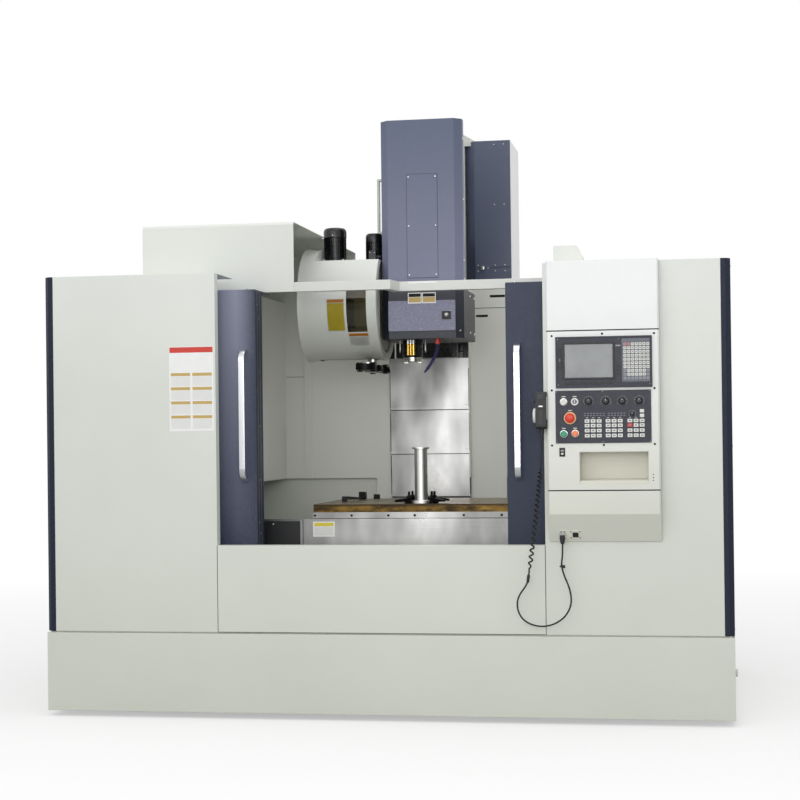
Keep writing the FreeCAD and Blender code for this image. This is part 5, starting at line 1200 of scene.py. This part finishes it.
# ---- seam and screws of the magazine's hood, and bolts on the column ----
plates("hood_seam", "machine", "seam_shadow", [(-1171.6, 1114, 1936, -1170, 1117, 2168)], 0)
screws("hood_screws", "machine", [
    (-1171, y, z, LEFT) for y in (440, 1110, 1790) for z in (1940, 2150)
], 5, 2.4)
lathe("column_bolts", "machine", "black_steel", [
    ((x, y, 2740), UP, [(18, -0.4), (18, 8), (14, 10), (0, 10)], 0) for x in (-170, 64) for y in (1960, 2390)
], 16)

# ---- floor: near white for the camera, half grey for the light that it throws back ----
WHITE_LIGHT = (1, 1, 1, 1)
HALF_GREY = (0.5, 0.5, 0.5, 1)
floor_mesh = bpy.data.meshes.new("floor")
floor_mesh.from_pydata([(-40, -40, 0), (40, -40, 0), (40, 40, 0), (-40, 40, 0)], [], [(0, 1, 2, 3)])
floor = placed("floor", floor_mesh)
s = Surface("floor", 0.9)
s.give("Base Color", s.mix(s.noise(0.8), (0.93, 0.93, 0.93, 1), (0.95, 0.95, 0.95, 1)))
s.give("Specular IOR Level", 0.2)
camera_ray = s.node("ShaderNodeLightPath", {}, "Is Camera Ray")
distance = s.node("ShaderNodeVectorMath", {0: s.coords}, "Value", operation="LENGTH")
fade = s.node("ShaderNodeMath", {
    0: camera_ray, 1: s.span(distance, 1.5, 7, 0.45, 1),
}, operation="MULTIPLY")
grey = s.node("ShaderNodeBsdfDiffuse", {"Color": HALF_GREY})
ground = s.node("ShaderNodeMixShader", {0: camera_ray, 1: grey, 2: s.shader.outputs[0]})
bright = s.node("ShaderNodeEmission", {"Color": WHITE_LIGHT})
faded = s.node("ShaderNodeMixShader", {0: fade, 1: ground, 2: bright})
feed(s.tree, s.tree.nodes["Material Output"].inputs["Surface"], faded)
floor_mesh.materials.append(s.material)

# ---- world: full white where it is seen, also in reflections and through glass, and weaker as light ----
SEEN, AS_LIGHT = 1, 0.72
world = bpy.data.worlds.new("world")
bpy.context.scene.world = world
world.use_nodes = True
tree = world.node_tree
tree.nodes.clear()
paths = tree.nodes.new("ShaderNodeLightPath").outputs
seen = paths["Is Camera Ray"]
for kind in ("Is Glossy Ray", "Is Transmission Ray"):
    seen = shader_node(tree, "ShaderNodeMath", {0: seen, 1: paths[kind]}, operation="ADD", use_clamp=True)
skies = [
    shader_node(tree, "ShaderNodeBackground", {"Color": WHITE_LIGHT, "Strength": strength})
    for strength in (AS_LIGHT, SEEN)
]
sky = shader_node(tree, "ShaderNodeMixShader", {0: seen, 1: skies[0], 2: skies[1]})
feed(tree, tree.nodes.new("ShaderNodeOutputWorld").inputs[0], sky)


# ---- lamps ----
def lamp(name, place, target, size, power):
    """An area lamp; place, target and size are in metres and power in watts."""
    data = bpy.data.lights.new(name, "AREA")
    data.shape = "RECTANGLE"
    data.size, data.size_y = size
    data.energy = power
    light = placed(name, data)
    light.location = place
    light.rotation_mode = "QUATERNION"
    light.rotation_quaternion = (Vector(target) - Vector(place)).to_track_quat("-Z", "Y")
    return light


lamp("front_lamp", (-1.5, -6.5, 3.6), (0, 0, 1.3), (5, 3), 56)
lamp("top_lamp", (1, -1, 6), (0, 0, 1), (5, 5), 66)
lamp("fill_lamp", (0.9, -7.2, 1.9), (0, 0, 1.2), (3.2, 1.6), 70)
# a weak lamp under the tool magazine, for the light that the real walls throw on each other
wall_lamp = lamp("wall_lamp", (-0.33, -0.3, 1.3), (-0.33, 1, 1.25), (0.7, 0.4), 0.6)
wall_lamp.visible_camera = False
wall_lamp.visible_glossy = False
wall_lamp.visible_transmission = False

bpy.context.scene.view_settings.view_transform = "Standard"
